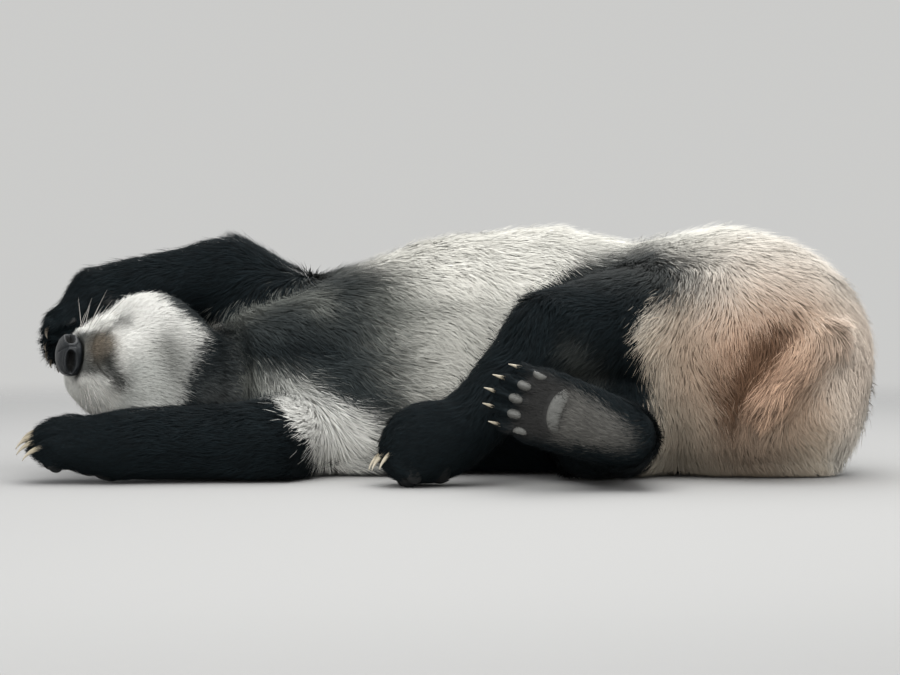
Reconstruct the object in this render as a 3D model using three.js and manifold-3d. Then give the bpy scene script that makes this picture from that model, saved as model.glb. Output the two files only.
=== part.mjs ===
// A giant panda asleep on its right side, as a still, life-size museum model.
//
// Millimetres, +Z up, origin on the floor under the middle of the animal. The head lies at -X and the
// rump at +X. The belly faces -Y and the back +Y, so the left side is uppermost.
// Every part is a skin wrapped round a line: rings of points are pushed out from the line until they
// leave a smooth body built from ellipsoids and tapered bones. The skin is the outline of the coat.
import * as THREE from "three";
import { mergeVertices } from "three/addons/utils/BufferGeometryUtils.js";
import Module from "manifold-3d";

const wasm = await Module();
wasm.setup();

// ---------------------------------------------------------------- driving dimensions
const GAP = 0.4; // air between two parts that touch
const FLOOR_DIP = 8; // how far the soft body would sink under Z = 0 before it is cut flat there
const TRUNK = { chest: 165, ribs: 189, belly: 197, loin: 182, pelvis: 195, rump: 192 }; // half heights

// How many flats each kind of part has round it, and how wide the soft creases are in mm.
const SIDES = { spine: 26, limb: 16, paw: 18, nose: 16, ear: 14, tail: 12 };
const CREASE = { head: 34, trunk: 46, throat: 30, leg: 24, toes: 10, ear: 14, nose: 8 };

const HEAD = {
  noseTip: [-624, -156, 200],
  yaw: 28, // degrees, the nose turned from -X towards the belly side
  pitch: 11, // degrees, the nose lifted
  roll: 30, // degrees, the left cheek rolled over towards the back
  halfWidth: 136,
  noseReach: 204, // head centre to the front of the nose
  noseDrop: 34, // how far the nose lies below the head's centre
  eye: { forward: 86, side: 46, up: 30, radius: 12, proud: 2.5 },
  ear: { back: -62, side: 84, up: 92, radius: 44, half_thick: 17 },
  nose: { half_width: 37, half_height: 24, depth: 24 },
};

const CLAW = { length: 40, base: 6.5, tip: 0.8, bend: 62, sides: 5, rings: 3 };

// Joint centres and coat radii of the four legs.
const LEGS = {
  fore_left: {
    joints: [[-188, 78, 192], [-362, 88, 312], [-566, 74, 276]],
    radii: [98, 66, 60],
    toes: [-652, 6, 196],
    back_of_paw: [-0.75, 0.55, 0.35],
    paw: { half_width: 54, half_thick: 38 },
  },
  fore_right: {
    joints: [[-200, 40, 92], [-285, -180, 60], [-505, -218, 60]],
    radii: [92, 66, 60],
    toes: [-655, -222, 66],
    back_of_paw: [0, -0.35, 0.94],
    paw: { half_width: 57, half_thick: 45 },
  },
  hind_left: {
    joints: [[368, -12, 246], [153, -182, 224], [12, -275, 80]],
    radii: [122, 75, 52],
    toes: [-116, -288, 44],
    back_of_paw: [-0.2, 0, 0.97],
    paw: { half_width: 60, half_thick: 68 },
  },
  hind_right: {
    joints: [[391, 24, 103], [216, -166, 72], [262, -372, 78]],
    radii: [101, 76, 50],
    toes: [50, -396, 153],
    back_of_paw: [0, 1, 0],
    paw: { half_width: 62, half_thick: 36 },
  },
};

// ---------------------------------------------------------------- small vector helpers
const vec = (p) => new THREE.Vector3(...p);
const mix = (a, b, t) => a.clone().lerp(b, t);
const UP = new THREE.Vector3(0, 0, 1);

/** Three axes of a part: x along `forward`, z as near as can be to `up`, y to its left. */
function axesOf(forward, up) {
  const x = forward.clone().normalize();
  const y = up.clone().cross(x).normalize();
  return [x, y, x.clone().cross(y)];
}

/** A point given by its distances along a part's axes from a centre. */
function along(centre, axes, distances) {
  const p = centre.clone();
  axes.forEach((axis, i) => p.addScaledVector(axis, distances[i]));
  return p;
}

// ---------------------------------------------------------------- smooth bodies
// A field is negative inside a body, positive outside, and about the distance to its surface.

function ellipsoid(centre, radii, axes = [vec([1, 0, 0]), vec([0, 1, 0]), UP]) {
  const d = new THREE.Vector3();
  return (p) => {
    d.subVectors(p, centre);
    let near = 0;
    let steep = 0;
    for (let i = 0; i < 3; i++) {
      const q = d.dot(axes[i]) / radii[i];
      near += q * q;
      steep += (q / radii[i]) ** 2;
    }
    if (steep < 1e-12) return -Math.min(...radii);
    return (Math.sqrt(near) * (Math.sqrt(near) - 1)) / Math.sqrt(steep);
  };
}

function bone(a, b, radiusA, radiusB) {
  const span = b.clone().sub(a);
  const length2 = span.lengthSq();
  const d = new THREE.Vector3();
  return (p) => {
    const t = THREE.MathUtils.clamp(d.subVectors(p, a).dot(span) / length2, 0, 1);
    return d.addScaledVector(span, -t).length() - (radiusA + (radiusB - radiusA) * t);
  };
}

/** A chain of bones with a radius at every joint. */
function chain(points, radii) {
  return points.slice(1).map((p, i) => bone(points[i], p, radii[i], radii[i + 1]));
}

/** Fields joined with a soft crease about `blend` mm wide. */
function soft(fields, blend) {
  return (p) => {
    let value = fields[0](p);
    for (let i = 1; i < fields.length; i++) {
      const other = fields[i](p);
      const h = Math.max(blend - Math.abs(value - other), 0) / blend;
      value = Math.min(value, other) - (h * h * blend) / 4;
    }
    return value;
  };
}

/** How far from `from` along `way` the body ends. */
function reach(field, from, way, grow = 0) {
  const step = 5;
  const p = new THREE.Vector3();
  const outside = (r) => field(p.copy(from).addScaledVector(way, r)) > grow;
  let far = 0;
  while (far < 600 && !outside(far)) far += step;
  let near = Math.max(far - step, 0);
  for (let i = 0; i < 12; i++) {
    const middle = (near + far) / 2;
    if (outside(middle)) far = middle;
    else near = middle;
  }
  return Math.max(near, 0.5);
}

/** The direction in which a field grows fastest: straight out of its surface. */
function outward(field, p) {
  const step = 0.5;
  const slope = ["x", "y", "z"].map((axis) => {
    const [ahead, behind] = [p.clone(), p.clone()];
    ahead[axis] += step;
    behind[axis] -= step;
    return field(ahead) - field(behind);
  });
  return vec(slope).normalize();
}

// ---------------------------------------------------------------- wrapping a skin round a line

/** A closed solid: one ring of the field's surface in each station's plane, and a point at each end. */
function wrap(stations, field, sides, side, grow = 0, roundStart = false, roundEnd = false) {
  const points = [];
  const faces = [];
  for (const { at, normal } of stations) {
    const e1 = side.clone().addScaledVector(normal, -side.dot(normal)).normalize();
    const e2 = normal.clone().cross(e1);
    for (let j = 0; j < sides; j++) {
      const turn = (j / sides) * Math.PI * 2;
      const way = e1.clone().multiplyScalar(Math.cos(turn)).addScaledVector(e2, Math.sin(turn));
      points.push(at.clone().addScaledVector(way, reach(field, at, way, grow)));
    }
  }
  const rings = stations.length;
  const ringPoint = (i, j) => i * sides + (j % sides);
  for (let i = 0; i + 1 < rings; i++)
    for (let j = 0; j < sides; j++) {
      const [a, b] = [ringPoint(i, j), ringPoint(i, j + 1)];
      const [c, d] = [ringPoint(i + 1, j + 1), ringPoint(i + 1, j)];
      faces.push([a, b, c], [a, c, d]);
    }
  const endPoint = (station, direction, round) => {
    const way = station.normal.clone().multiplyScalar(direction);
    const far = round ? reach(field, station.at, way, grow) : 0;
    points.push(station.at.clone().addScaledVector(way, far));
    return points.length - 1;
  };
  const start = endPoint(stations[0], -1, roundStart);
  const end = endPoint(stations[rings - 1], 1, roundEnd);
  for (let j = 0; j < sides; j++) {
    faces.push([start, ringPoint(0, j + 1), ringPoint(0, j)]);
    faces.push([end, ringPoint(rings - 1, j), ringPoint(rings - 1, j + 1)]);
  }
  return solidFrom(points, faces);
}

function solidFrom(points, faces) {
  const vertProperties = new Float32Array(points.flatMap((p) => [p.x, p.y, p.z]));
  const triVerts = new Uint32Array(faces.flat());
  return new wasm.Manifold(new wasm.Mesh({ numProp: 3, vertProperties, triVerts }));
}

/** A three.js geometry, already in place, as a solid. */
function solidOf(geometry) {
  geometry.deleteAttribute("normal");
  geometry.deleteAttribute("uv");
  const merged = mergeVertices(geometry, 1e-3);
  const vertProperties = new Float32Array(merged.attributes.position.array);
  const triVerts = new Uint32Array(merged.index.array);
  return new wasm.Manifold(new wasm.Mesh({ numProp: 3, vertProperties, triVerts }));
}

/** Planes spread evenly from one to another, their directions turning on the way. */
function between(a, b, count) {
  const stations = [];
  for (let i = 0; i <= count; i++) {
    const t = i / count;
    const normal = mix(a.normal, b.normal, t).normalize();
    stations.push({ at: mix(a.at, b.at, t), normal });
  }
  return stations;
}

/** Planes from one to a round end, closing up towards the tip. */
function toTip(a, way, count, field, fill = 0.97) {
  const direction = way.clone().normalize();
  const length = reach(field, a.at, direction) * fill;
  const stations = [];
  for (let i = 0; i <= count; i++) {
    const t = Math.sin((i / count) * (Math.PI / 2));
    const normal = mix(a.normal, direction, Math.min(1, 1.4 * t)).normalize();
    stations.push({ at: a.at.clone().addScaledVector(direction, length * t), normal });
  }
  return stations;
}

/** Planes from a round start, behind `at`, opening up towards it. */
function fromTip(at, way, count, field) {
  const back = way.clone().negate();
  const stations = toTip({ at, normal: back }, back, count, field).slice(1).reverse();
  return stations.map((s) => ({ at: s.at, normal: s.normal.clone().negate() }));
}

/** The same planes, the first and the last moved outwards, so that a grown copy is longer too. */
function longer(stations, by) {
  const last = stations.length - 1;
  const moved = (s, far) => ({ at: s.at.clone().addScaledVector(s.normal, far), normal: s.normal });
  return stations.map((s, i) => (i === 0 ? moved(s, -by) : i === last ? moved(s, by) : s));
}

// ---------------------------------------------------------------- the named parts, in order of making
const parts = []; // { name, solid, grown }: grown is the part made fatter by the gap
const panda = new THREE.Group();

const COATS = {
  white: new THREE.MeshStandardMaterial({ color: 0xe2dccf, roughness: 0.9, metalness: 0 }),
  black: new THREE.MeshStandardMaterial({ color: 0x17181c, roughness: 0.88, metalness: 0 }),
  horn: new THREE.MeshStandardMaterial({ color: 0xb9a888, roughness: 0.45, metalness: 0 }),
  leather: new THREE.MeshStandardMaterial({ color: 0x1c1b1e, roughness: 0.5, metalness: 0 }),
  eye: new THREE.MeshStandardMaterial({ color: 0x21140c, roughness: 0.08, metalness: 0 }),
};

function onFloor(solid) {
  return solid.trimByPlane([0, 0, 1], 0);
}

function largestPiece(solid) {
  const pieces = solid.decompose();
  return pieces.reduce((best, piece) => (piece.volume() > best.volume() ? piece : best));
}

function apart(boxA, boxB) {
  return [0, 1, 2].some((i) => boxA.min[i] > boxB.max[i] || boxB.min[i] > boxA.max[i]);
}

/** Adds a part, cut back wherever an earlier one already is. */
function place(name, coat, solid, grown) {
  let cut = onFloor(solid);
  for (const earlier of parts)
    if (!apart(cut.boundingBox(), earlier.grown.boundingBox())) cut = cut.subtract(earlier.grown);
  cut = largestPiece(cut);
  parts.push({ name, solid: cut, grown });
  const { vertProperties, triVerts } = cut.getMesh();
  const geometry = new THREE.BufferGeometry();
  geometry.setAttribute("position", new THREE.BufferAttribute(new Float32Array(vertProperties), 3));
  geometry.setIndex(new THREE.BufferAttribute(new Uint32Array(triVerts), 1));
  geometry.computeVertexNormals();
  const mesh = new THREE.Mesh(geometry, COATS[coat]);
  mesh.name = name;
  panda.add(mesh);
}

/** A wrapped part and its grown copy. */
function placeWrap(name, coat, stations, field, sides, side, roundStart = false, roundEnd = false) {
  const solid = wrap(stations, field, sides, side, 0, roundStart, roundEnd);
  const grown = wrap(longer(stations, GAP), field, sides, side, GAP, roundStart, roundEnd);
  place(name, coat, solid, grown);
}

// ---------------------------------------------------------------- head
const headAxes = (() => {
  const [yaw, pitch, roll] = [HEAD.yaw, HEAD.pitch, HEAD.roll].map(THREE.MathUtils.degToRad);
  const forward = new THREE.Vector3(-Math.cos(yaw), -Math.sin(yaw), 0)
    .multiplyScalar(Math.cos(pitch))
    .addScaledVector(UP, Math.sin(pitch));
  const skyward = UP.clone().addScaledVector(forward, -forward.z).normalize();
  const left = skyward
    .clone()
    .multiplyScalar(Math.cos(roll))
    .addScaledVector(forward.clone().cross(skyward), Math.sin(roll));
  return [forward, left, forward.clone().cross(left)];
})();
const headCentre = along(vec(HEAD.noseTip), headAxes, [-HEAD.noseReach, 0, HEAD.noseDrop]);
const onHead = (forward, left, up) => along(headCentre, headAxes, [forward, left, up]);
const headBall = (place3, radii) => ellipsoid(onHead(...place3), radii, headAxes);
const bothSides = (make) => [make(1), make(-1)];

const headField = soft(
  [
    headBall([-28, 0, 18], [114, 119, 114]), // brain case and its thick coat
    ...bothSides((s) => headBall([28, s * 70, -22], [82, HEAD.halfWidth - 70, 82])), // cheeks
    headBall([-22, -64, 26], [92, 92, 84]), // the lower cheek, spread by the floor
    ...bothSides((s) => headBall([48, s * 40, 24], [46, 42, 40])), // brows over the eyes
    headBall([100, 0, -24], [68, 62, 44]), // muzzle
    ...bothSides((s) => headBall([114, s * 26, -8], [40, 30, 32])), // the boxy sides of the muzzle
    ...bothSides((s) => headBall([124, s * 24, 6], [38, 28, 26])), // the fur beside the bridge
    headBall([122, 0, -38], [30, 42, 25]), // upper lips
    headBall([60, 0, -74], [68, 46, 29]), // lower jaw
  ],
  CREASE.head,
);

// ---------------------------------------------------------------- trunk and neck
const SPINE = [
  { at: [-318, 34], half: 132 },
  { at: [-250, 58], half: 146 },
  { at: [-140, 84], half: TRUNK.chest },
  { at: [0, 112], half: TRUNK.ribs },
  { at: [150, 120], half: TRUNK.belly },
  { at: [285, 82], half: TRUNK.loin },
  { at: [430, -2], half: TRUNK.pelvis },
  { at: [474, -48], half: TRUNK.rump },
];
const spinePoint = ({ at: [x, y], half }) => vec([x, y, half - FLOOR_DIP]);
const nape = onHead(-92, 0, -4);
const trunkField = soft(
  [
    bone(nape, spinePoint(SPINE[0]), 116, SPINE[0].half),
    ...chain(SPINE.map(spinePoint), SPINE.map((s) => s.half)),
    bone(vec([-110, -15, 104]), vec([210, 5, 112]), 112, 118), // belly, sagging to the floor
    bone(vec([-232, -52, 74]), vec([-140, -48, 88]), 84, 96), // fur of the armpit and breast
    bone(vec([-215, 128, 236]), vec([-100, 204, 222]), 66, 74), // upper shoulder blade
    bone(vec([350, 40, 262]), vec([430, 22, 266]), 100, 112), // upper haunch
    bone(vec([360, -96, 120]), vec([452, -118, 160]), 96, 110), // seat
    bone(vec([440, -40, 92]), vec([546, -66, 88]), 96, 98), // fur of the rump, spread by the floor
  ],
  CREASE.trunk,
);

// The cuts between the lengths of the body, from the rump forwards.
const spineLine = new THREE.CatmullRomCurve3(
  [...SPINE.map(spinePoint).reverse(), nape, headCentre],
  false,
  "centripetal",
);
const onSpine = (t) => ({ at: spineLine.getPointAt(t), normal: spineLine.getTangentAt(t) });
const spineRun = (t0, t1, count) =>
  Array.from({ length: count + 1 }, (_, i) => onSpine(t0 + ((t1 - t0) * i) / count));
const CUTS = { rump: 0.02, loin: 0.27, ribs: 0.55, neck: 0.78, head: 0.912 };

const rumpEnd = onSpine(CUTS.rump);
const rumpTip = fromTip(rumpEnd.at, rumpEnd.normal, 5, trunkField);
const rumpStations = [...rumpTip, ...spineRun(CUTS.rump, CUTS.loin, 5)];
placeWrap("rump", "white", rumpStations, trunkField, SIDES.spine, UP, true);
placeWrap("belly", "white", spineRun(CUTS.loin, CUTS.ribs, 6), trunkField, SIDES.spine, UP);
const throatField = soft([trunkField, headField], CREASE.throat);
placeWrap("chest", "black", spineRun(CUTS.ribs, CUTS.neck, 5), throatField, SIDES.spine, UP);

const neckEnd = { at: onHead(-84, 0, -6), normal: headAxes[0] };
const neckStart = onSpine(CUTS.neck);
placeWrap("neck", "white", between(neckStart, neckEnd, 3), throatField, SIDES.spine, UP);

// ---------------------------------------------------------------- eyes, head, jaw, nose, ears
const ball = (centre, radius) =>
  solidOf(new THREE.IcosahedronGeometry(radius, 1).translate(centre.x, centre.y, centre.z));
for (const [side, s] of [["left", 1], ["right", -1]]) {
  // The ball sits in its socket, with its front a little proud of the short coat round it.
  const { forward, side: out, up, radius, proud } = HEAD.eye;
  const inside = onHead(forward * 0.5, s * out * 0.4, 0);
  const way = onHead(forward, s * out, up).sub(inside).normalize();
  const surface = inside.clone().addScaledVector(way, reach(headField, inside, way));
  const centre = surface.addScaledVector(outward(headField, surface), proud - radius);
  place(`eye_${side}`, "eye", ball(centre, radius), ball(centre, radius + GAP));
}

const noseBack = onHead(HEAD.noseReach - HEAD.nose.depth - 6, 0, 4 - HEAD.noseDrop);
const noseAxes = axesOf(onHead(1, 0, 0.12).sub(headCentre), headAxes[2]);
const { half_width: noseWide, half_height: noseHigh, depth: noseDeep } = HEAD.nose;
const noseFoot = along(noseBack, noseAxes, [4, 0, -10]);
const noseField = soft(
  [
    ellipsoid(noseBack, [noseDeep + 6, noseWide, noseHigh], noseAxes),
    ellipsoid(noseFoot, [noseDeep - 2, noseWide * 0.6, noseHigh - 4], noseAxes),
  ],
  CREASE.nose,
);
const noseStart = { at: along(noseBack, noseAxes, [-12, 0, 0]), normal: noseAxes[0] };
const noseStations = toTip(noseStart, noseAxes[0], 5, noseField, 0.96);
placeWrap("nose", "leather", noseStations, noseField, SIDES.nose, noseAxes[2], true, true);

/** A block in the head's own axes, between two corners. */
function headBlock(low, high, tilt) {
  const size = high.map((h, i) => h - low[i]);
  const block = new THREE.BoxGeometry(...size);
  block.translate(...low.map((v, i) => v + size[i] / 2));
  block.rotateY(THREE.MathUtils.degToRad(tilt));
  block.applyMatrix4(new THREE.Matrix4().makeBasis(...headAxes));
  block.translate(headCentre.x, headCentre.y, headCentre.z);
  return solidOf(block);
}

const headStations = toTip(neckEnd, onHead(180, 0, -34).sub(neckEnd.at), 12, headField, 0.985);
const headWrap = (stations, grow) =>
  wrap(stations, headField, SIDES.spine, headAxes[2], grow, false, true);
const wholeHead = headWrap(headStations, 0);
const grownHead = headWrap(longer(headStations, GAP), GAP);

// The jaw is the part of the head under the mouth, between the cheeks.
const JAW = { back: -12, front: 240, half_width: 56, mouth: -62, lowest: -260, tilt: 3 };
const jawBlock = (grow) =>
  headBlock(
    [JAW.back - grow, -JAW.half_width - grow, JAW.lowest],
    [JAW.front, JAW.half_width + grow, JAW.mouth + grow],
    JAW.tilt,
  );
place("jaw", "white", wholeHead.intersect(jawBlock(0)), grownHead.intersect(jawBlock(GAP)));
place("head", "white", wholeHead, grownHead);

for (const [side, s] of [["left", 1], ["right", -1]]) {
  const { back, side: out, up, radius, half_thick: thick } = HEAD.ear;
  const root = onHead(back, s * out, up);
  // The upper ear stands out from the head; the lower one is folded back by the floor.
  const lean = s > 0 ? onHead(-14, 66, 72) : onHead(-40, -18, 90);
  const tipWay = lean.sub(headCentre).normalize();
  const earAxes = axesOf(tipWay, headAxes[0]);
  const middle = along(root, earAxes, [radius * 0.42, 0, 0]);
  const earField = soft(
    [
      ellipsoid(middle, [radius, radius, thick], earAxes),
      ellipsoid(root, [radius * 0.7, radius * 0.8, thick + 8], earAxes),
    ],
    CREASE.ear,
  );
  const start = { at: along(root, earAxes, [-radius * 0.4, 0, 0]), normal: tipWay };
  const stations = toTip(start, tipWay, 6, earField);
  placeWrap(`ear_${side}`, "black", stations, earField, SIDES.ear, earAxes[1], false, true);
}

// ---------------------------------------------------------------- tail
const TAIL = { root: [578, -192, 230], tip: [484, -244, 126], root_radius: 42, tip_radius: 28 };
const tailRoot = vec(TAIL.root);
const tailTip = vec(TAIL.tip);
const tailWay = tailTip.clone().sub(tailRoot).normalize();
const tailField = bone(tailRoot, tailTip, TAIL.root_radius, TAIL.tip_radius);
const tailStations = toTip({ at: tailRoot, normal: tailWay }, tailWay, 6, tailField);
placeWrap("tail", "white", tailStations, tailField, SIDES.tail, UP, true, true);

// ---------------------------------------------------------------- legs and claws

/** One claw: a horn that leaves the toe forwards and curves down towards the sole. */
function claw(root, forward, down) {
  const { rings, sides } = CLAW;
  const bend = THREE.MathUtils.degToRad(CLAW.bend);
  const arc = CLAW.length / bend;
  const across = forward.clone().cross(down);
  const stations = [];
  for (let i = 0; i <= rings; i++) {
    const t = i / rings;
    const turn = bend * t;
    const at = root
      .clone()
      .addScaledVector(forward, arc * Math.sin(turn))
      .addScaledVector(down, arc * (1 - Math.cos(turn)));
    const normal = forward
      .clone()
      .multiplyScalar(Math.cos(turn))
      .addScaledVector(down, Math.sin(turn));
    const radius = THREE.MathUtils.lerp(CLAW.base, CLAW.tip, t ** 0.8);
    stations.push({ at, normal, radius });
  }
  const tip = stations[rings];
  const point = tip.at.clone().addScaledVector(tip.normal, CLAW.tip);
  return (grow) => {
    const points = [];
    const faces = [];
    for (const { at, normal, radius } of stations) {
      const upward = normal.clone().cross(across);
      for (let j = 0; j < sides; j++) {
        const turn = (j / sides) * Math.PI * 2;
        const p = at.clone().addScaledVector(across, 0.8 * (radius + grow) * Math.cos(turn));
        points.push(p.addScaledVector(upward, (radius + grow) * Math.sin(turn)));
      }
    }
    for (let i = 0; i < rings; i++)
      for (let j = 0; j < sides; j++) {
        const a = i * sides + j;
        const b = i * sides + ((j + 1) % sides);
        faces.push([a, b, b + sides], [a, b + sides, a + sides]);
      }
    const rootPoint = points.push(root.clone()) - 1;
    const tipPoint = points.push(point.clone()) - 1;
    for (let j = 0; j < sides; j++) {
      const next = (j + 1) % sides;
      faces.push([rootPoint, next, j]);
      faces.push([tipPoint, rings * sides + j, rings * sides + next]);
    }
    return solidFrom(points, faces);
  };
}

const bisect = (a, b) => a.clone().add(b).normalize();

for (const [name, leg] of Object.entries(LEGS)) {
  const [root, knee, wrist] = leg.joints.map(vec);
  const toes = vec(leg.toes);
  const forward = toes.clone().sub(wrist).normalize();
  const pawAxes = axesOf(forward, vec(leg.back_of_paw));
  const pawLength = toes.distanceTo(wrist);
  const { half_width: wide, half_thick: thick } = leg.paw;
  const toeAt = (i) => {
    const spread = (i - 2) / 2;
    const ahead = pawLength * (0.76 - 0.1 * spread * spread);
    return along(wrist, pawAxes, [ahead, spread * wide * 0.72, -thick * 0.1]);
  };
  const palm = along(wrist, pawAxes, [pawLength * 0.42, 0, 0]);
  const toeFields = [0, 1, 2, 3, 4].map((i) =>
    ellipsoid(toeAt(i), [pawLength * 0.24, wide * 0.3, thick * 0.68], pawAxes),
  );
  const palmField = ellipsoid(palm, [pawLength * 0.52, wide, thick], pawAxes);
  const pawField = soft([palmField, ...toeFields], CREASE.toes);
  const field = soft([...chain([root, knee, wrist], leg.radii), pawField], CREASE.leg);

  const upperWay = knee.clone().sub(root).normalize();
  const lowerWay = wrist.clone().sub(knee).normalize();
  const atKnee = { at: knee, normal: bisect(upperWay, lowerWay) };
  const atWrist = { at: wrist, normal: bisect(lowerWay, forward) };
  const atRoot = { at: root, normal: upperWay };
  const side = pawAxes[1].clone();
  const upper = [...fromTip(root, upperWay, 3, field), ...between(atRoot, atKnee, 5)];
  const lower = between(atKnee, atWrist, 5);
  const paw = toTip(atWrist, forward, 6, field);
  placeWrap(`${name}_upper`, "black", upper, field, SIDES.limb, side, true);
  placeWrap(`${name}_lower`, "black", lower, field, SIDES.limb, side);
  placeWrap(`${name}_paw`, "black", paw, field, SIDES.paw, side, false, true);

  for (let i = 0; i < 5; i++) {
    const at = along(toeAt(i), pawAxes, [pawLength * 0.14, 0, thick * 0.18]);
    const down = pawAxes[2].clone().negate();
    const make = claw(at, forward, down);
    place(`${name}_claw_${i + 1}`, "horn", make(0), make(GAP));
  }
}

// The origin moves to the floor under the middle of the animal's box.
const middle = new THREE.Box3().setFromObject(panda).getCenter(new THREE.Vector3());
panda.position.set(-middle.x, -middle.y, 0);

export default panda;
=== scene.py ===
# %% [markdown]
# # A giant panda asleep on its side
# The animal is a life-size museum model: one skin over the whole body, a coat of many thousands of
# tufts, and a nose, claws, eyes, foot pads and whiskers of their own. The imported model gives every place
# and size. Fur could be a hair system, but that is only drawn while a picture is made. Here a tuft is a
# closed spindle of six triangles, so the coat is solid mesh that any program can read.

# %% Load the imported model
import math

import bmesh
import bpy
import numpy as np
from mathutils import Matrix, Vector
from mathutils.bvhtree import BVHTree
from mathutils.kdtree import KDTree


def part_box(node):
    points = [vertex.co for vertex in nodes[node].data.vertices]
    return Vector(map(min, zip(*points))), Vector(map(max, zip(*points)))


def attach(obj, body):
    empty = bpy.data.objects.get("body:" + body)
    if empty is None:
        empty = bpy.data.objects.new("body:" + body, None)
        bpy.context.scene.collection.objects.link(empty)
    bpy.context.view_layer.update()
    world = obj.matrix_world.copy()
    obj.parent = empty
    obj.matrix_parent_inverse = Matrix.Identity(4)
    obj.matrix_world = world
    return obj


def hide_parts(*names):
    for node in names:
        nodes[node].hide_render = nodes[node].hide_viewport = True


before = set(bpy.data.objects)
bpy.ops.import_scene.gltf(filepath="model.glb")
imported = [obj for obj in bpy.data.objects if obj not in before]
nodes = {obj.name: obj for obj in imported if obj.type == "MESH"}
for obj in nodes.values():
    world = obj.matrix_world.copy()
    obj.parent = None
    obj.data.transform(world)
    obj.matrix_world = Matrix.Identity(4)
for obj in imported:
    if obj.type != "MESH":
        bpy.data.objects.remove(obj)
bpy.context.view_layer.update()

dice = np.random.default_rng(7)
MM = 0.001
SAME_PLACE = 1e-5  # points closer than this are one point

# %% [markdown]
# ## Camera
# A still study of a long low body is taken from a little above the floor, looking at the belly. A short
# lens close by would make the near foot look larger than it is, so the lens is long and stands well back.

# %% Camera
AIM = Vector((-0.0031, 0.0472, 0.215))
CAMERA_AWAY = 5.0
CAMERA_RISE = math.radians(2.0)
FRAME_WIDTH_AT_AIM = 1.44
SENSOR = 36.0

camera_data = bpy.data.cameras.new("camera")
camera_data.sensor_width = SENSOR
camera_data.lens = SENSOR * CAMERA_AWAY / FRAME_WIDTH_AT_AIM
camera = bpy.data.objects.new("camera", camera_data)
bpy.context.scene.collection.objects.link(camera)
back_off = Vector((0.0, -math.cos(CAMERA_RISE), math.sin(CAMERA_RISE)))
camera.location = AIM + CAMERA_AWAY * back_off
camera.rotation_euler = (math.pi / 2 - CAMERA_RISE, 0.0, 0.0)
bpy.context.scene.camera = camera
print("lens", round(camera_data.lens), "mm")

# %% [markdown]
# ## Working with meshes as arrays
# Fur means hundreds of thousands of points. Going through them one by one would be slow, so the work is
# done on whole arrays at once. A Net knows which points of a mesh are neighbours, so a value such as a
# colour or a direction can be smoothed over the surface.


# %% Array helpers
def unit(v):
    v = np.asarray(v, float)
    return v / np.maximum(np.linalg.norm(v, axis=-1, keepdims=True), 1e-9)


def smooth_step(low, high, x):
    t = np.clip((x - low) / (high - low), 0.0, 1.0)
    return t * t * (3.0 - 2.0 * t)


def read(items, name, width, kind=np.float32):
    out = np.empty(len(items) * width, kind)
    items.foreach_get(name, out)
    return out.reshape(-1, width) if width > 1 else out


def points_of(mesh):
    return read(mesh.vertices, "co", 3).astype(float)


def set_points(mesh, points):
    mesh.vertices.foreach_set("co", np.asarray(points, np.float32).ravel())
    mesh.update()


def normals_of(mesh):
    return unit(read(mesh.vertex_normals, "vector", 3))


class Net:
    """The points of a mesh and the edges between them."""

    def __init__(self, mesh):
        self.count = len(mesh.vertices)
        self.edges = read(mesh.edges, "vertices", 2, np.int32)
        self.valence = np.maximum(np.bincount(self.edges.ravel(), minlength=self.count), 1)

    def mean(self, values):
        flat = values.reshape(self.count, -1)
        a, b = self.edges.T
        total = np.stack(
            [
                np.bincount(a, column[b], self.count) + np.bincount(b, column[a], self.count)
                for column in flat.T
            ],
            1,
        )
        return (total / self.valence[:, None]).reshape(values.shape)

    def spread(self, values, rounds, share=0.5, where=None):
        for _ in range(rounds):
            step = share * (self.mean(values) - values)
            values = values + (step if where is None else step * where)
        return values

    def ease(self, values, rounds, forth, back, where=None):
        """Smooths and sharpens in turn, which rounds off facets and keeps the size of the form."""
        for _ in range(rounds):
            values = self.spread(values, 1, forth, where)
            values = self.spread(values, 1, back, where)
        return values


def mesh_from(name, points, faces):
    mesh = bpy.data.meshes.new(name)
    mesh.from_pydata(np.asarray(points).tolist(), [], [list(map(int, f)) for f in faces])
    mesh.update()
    return mesh


def add_object(name, mesh, material=None):
    ob = bpy.data.objects.new(name, mesh)
    bpy.context.scene.collection.objects.link(ob)
    if material is not None:
        mesh.materials.append(material)
    return ob


def keep_on_points(mesh, name, values):
    """Stores one value or one colour for each point of a mesh, where a material can read it."""
    rgba = np.ones((len(mesh.vertices), 4))
    rgba[:, :3] = np.asarray(values, float).reshape(len(rgba), -1)
    layer = mesh.color_attributes.new(name, "FLOAT_COLOR", "POINT")
    layer.data.foreach_set("color", rgba.astype(np.float32).ravel())


print("helpers for arrays and meshes are ready")

# %% [markdown]
# ## The body under the coat
# A sleeping animal is one form with no seams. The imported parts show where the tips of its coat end. They
# could be joined by cuts and fillets, but remeshing them all as small voxels and smoothing the result
# gives one unbroken body with soft folds between the parts. The owner of a point, the part that it is
# nearest to, tells later how long the coat is there and which way it lies.

# %% Join the parts of flesh
VOXEL = 0.0075


def is_flesh(name):
    return not (name == "nose" or name.startswith("eye_") or "_claw_" in name)


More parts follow.
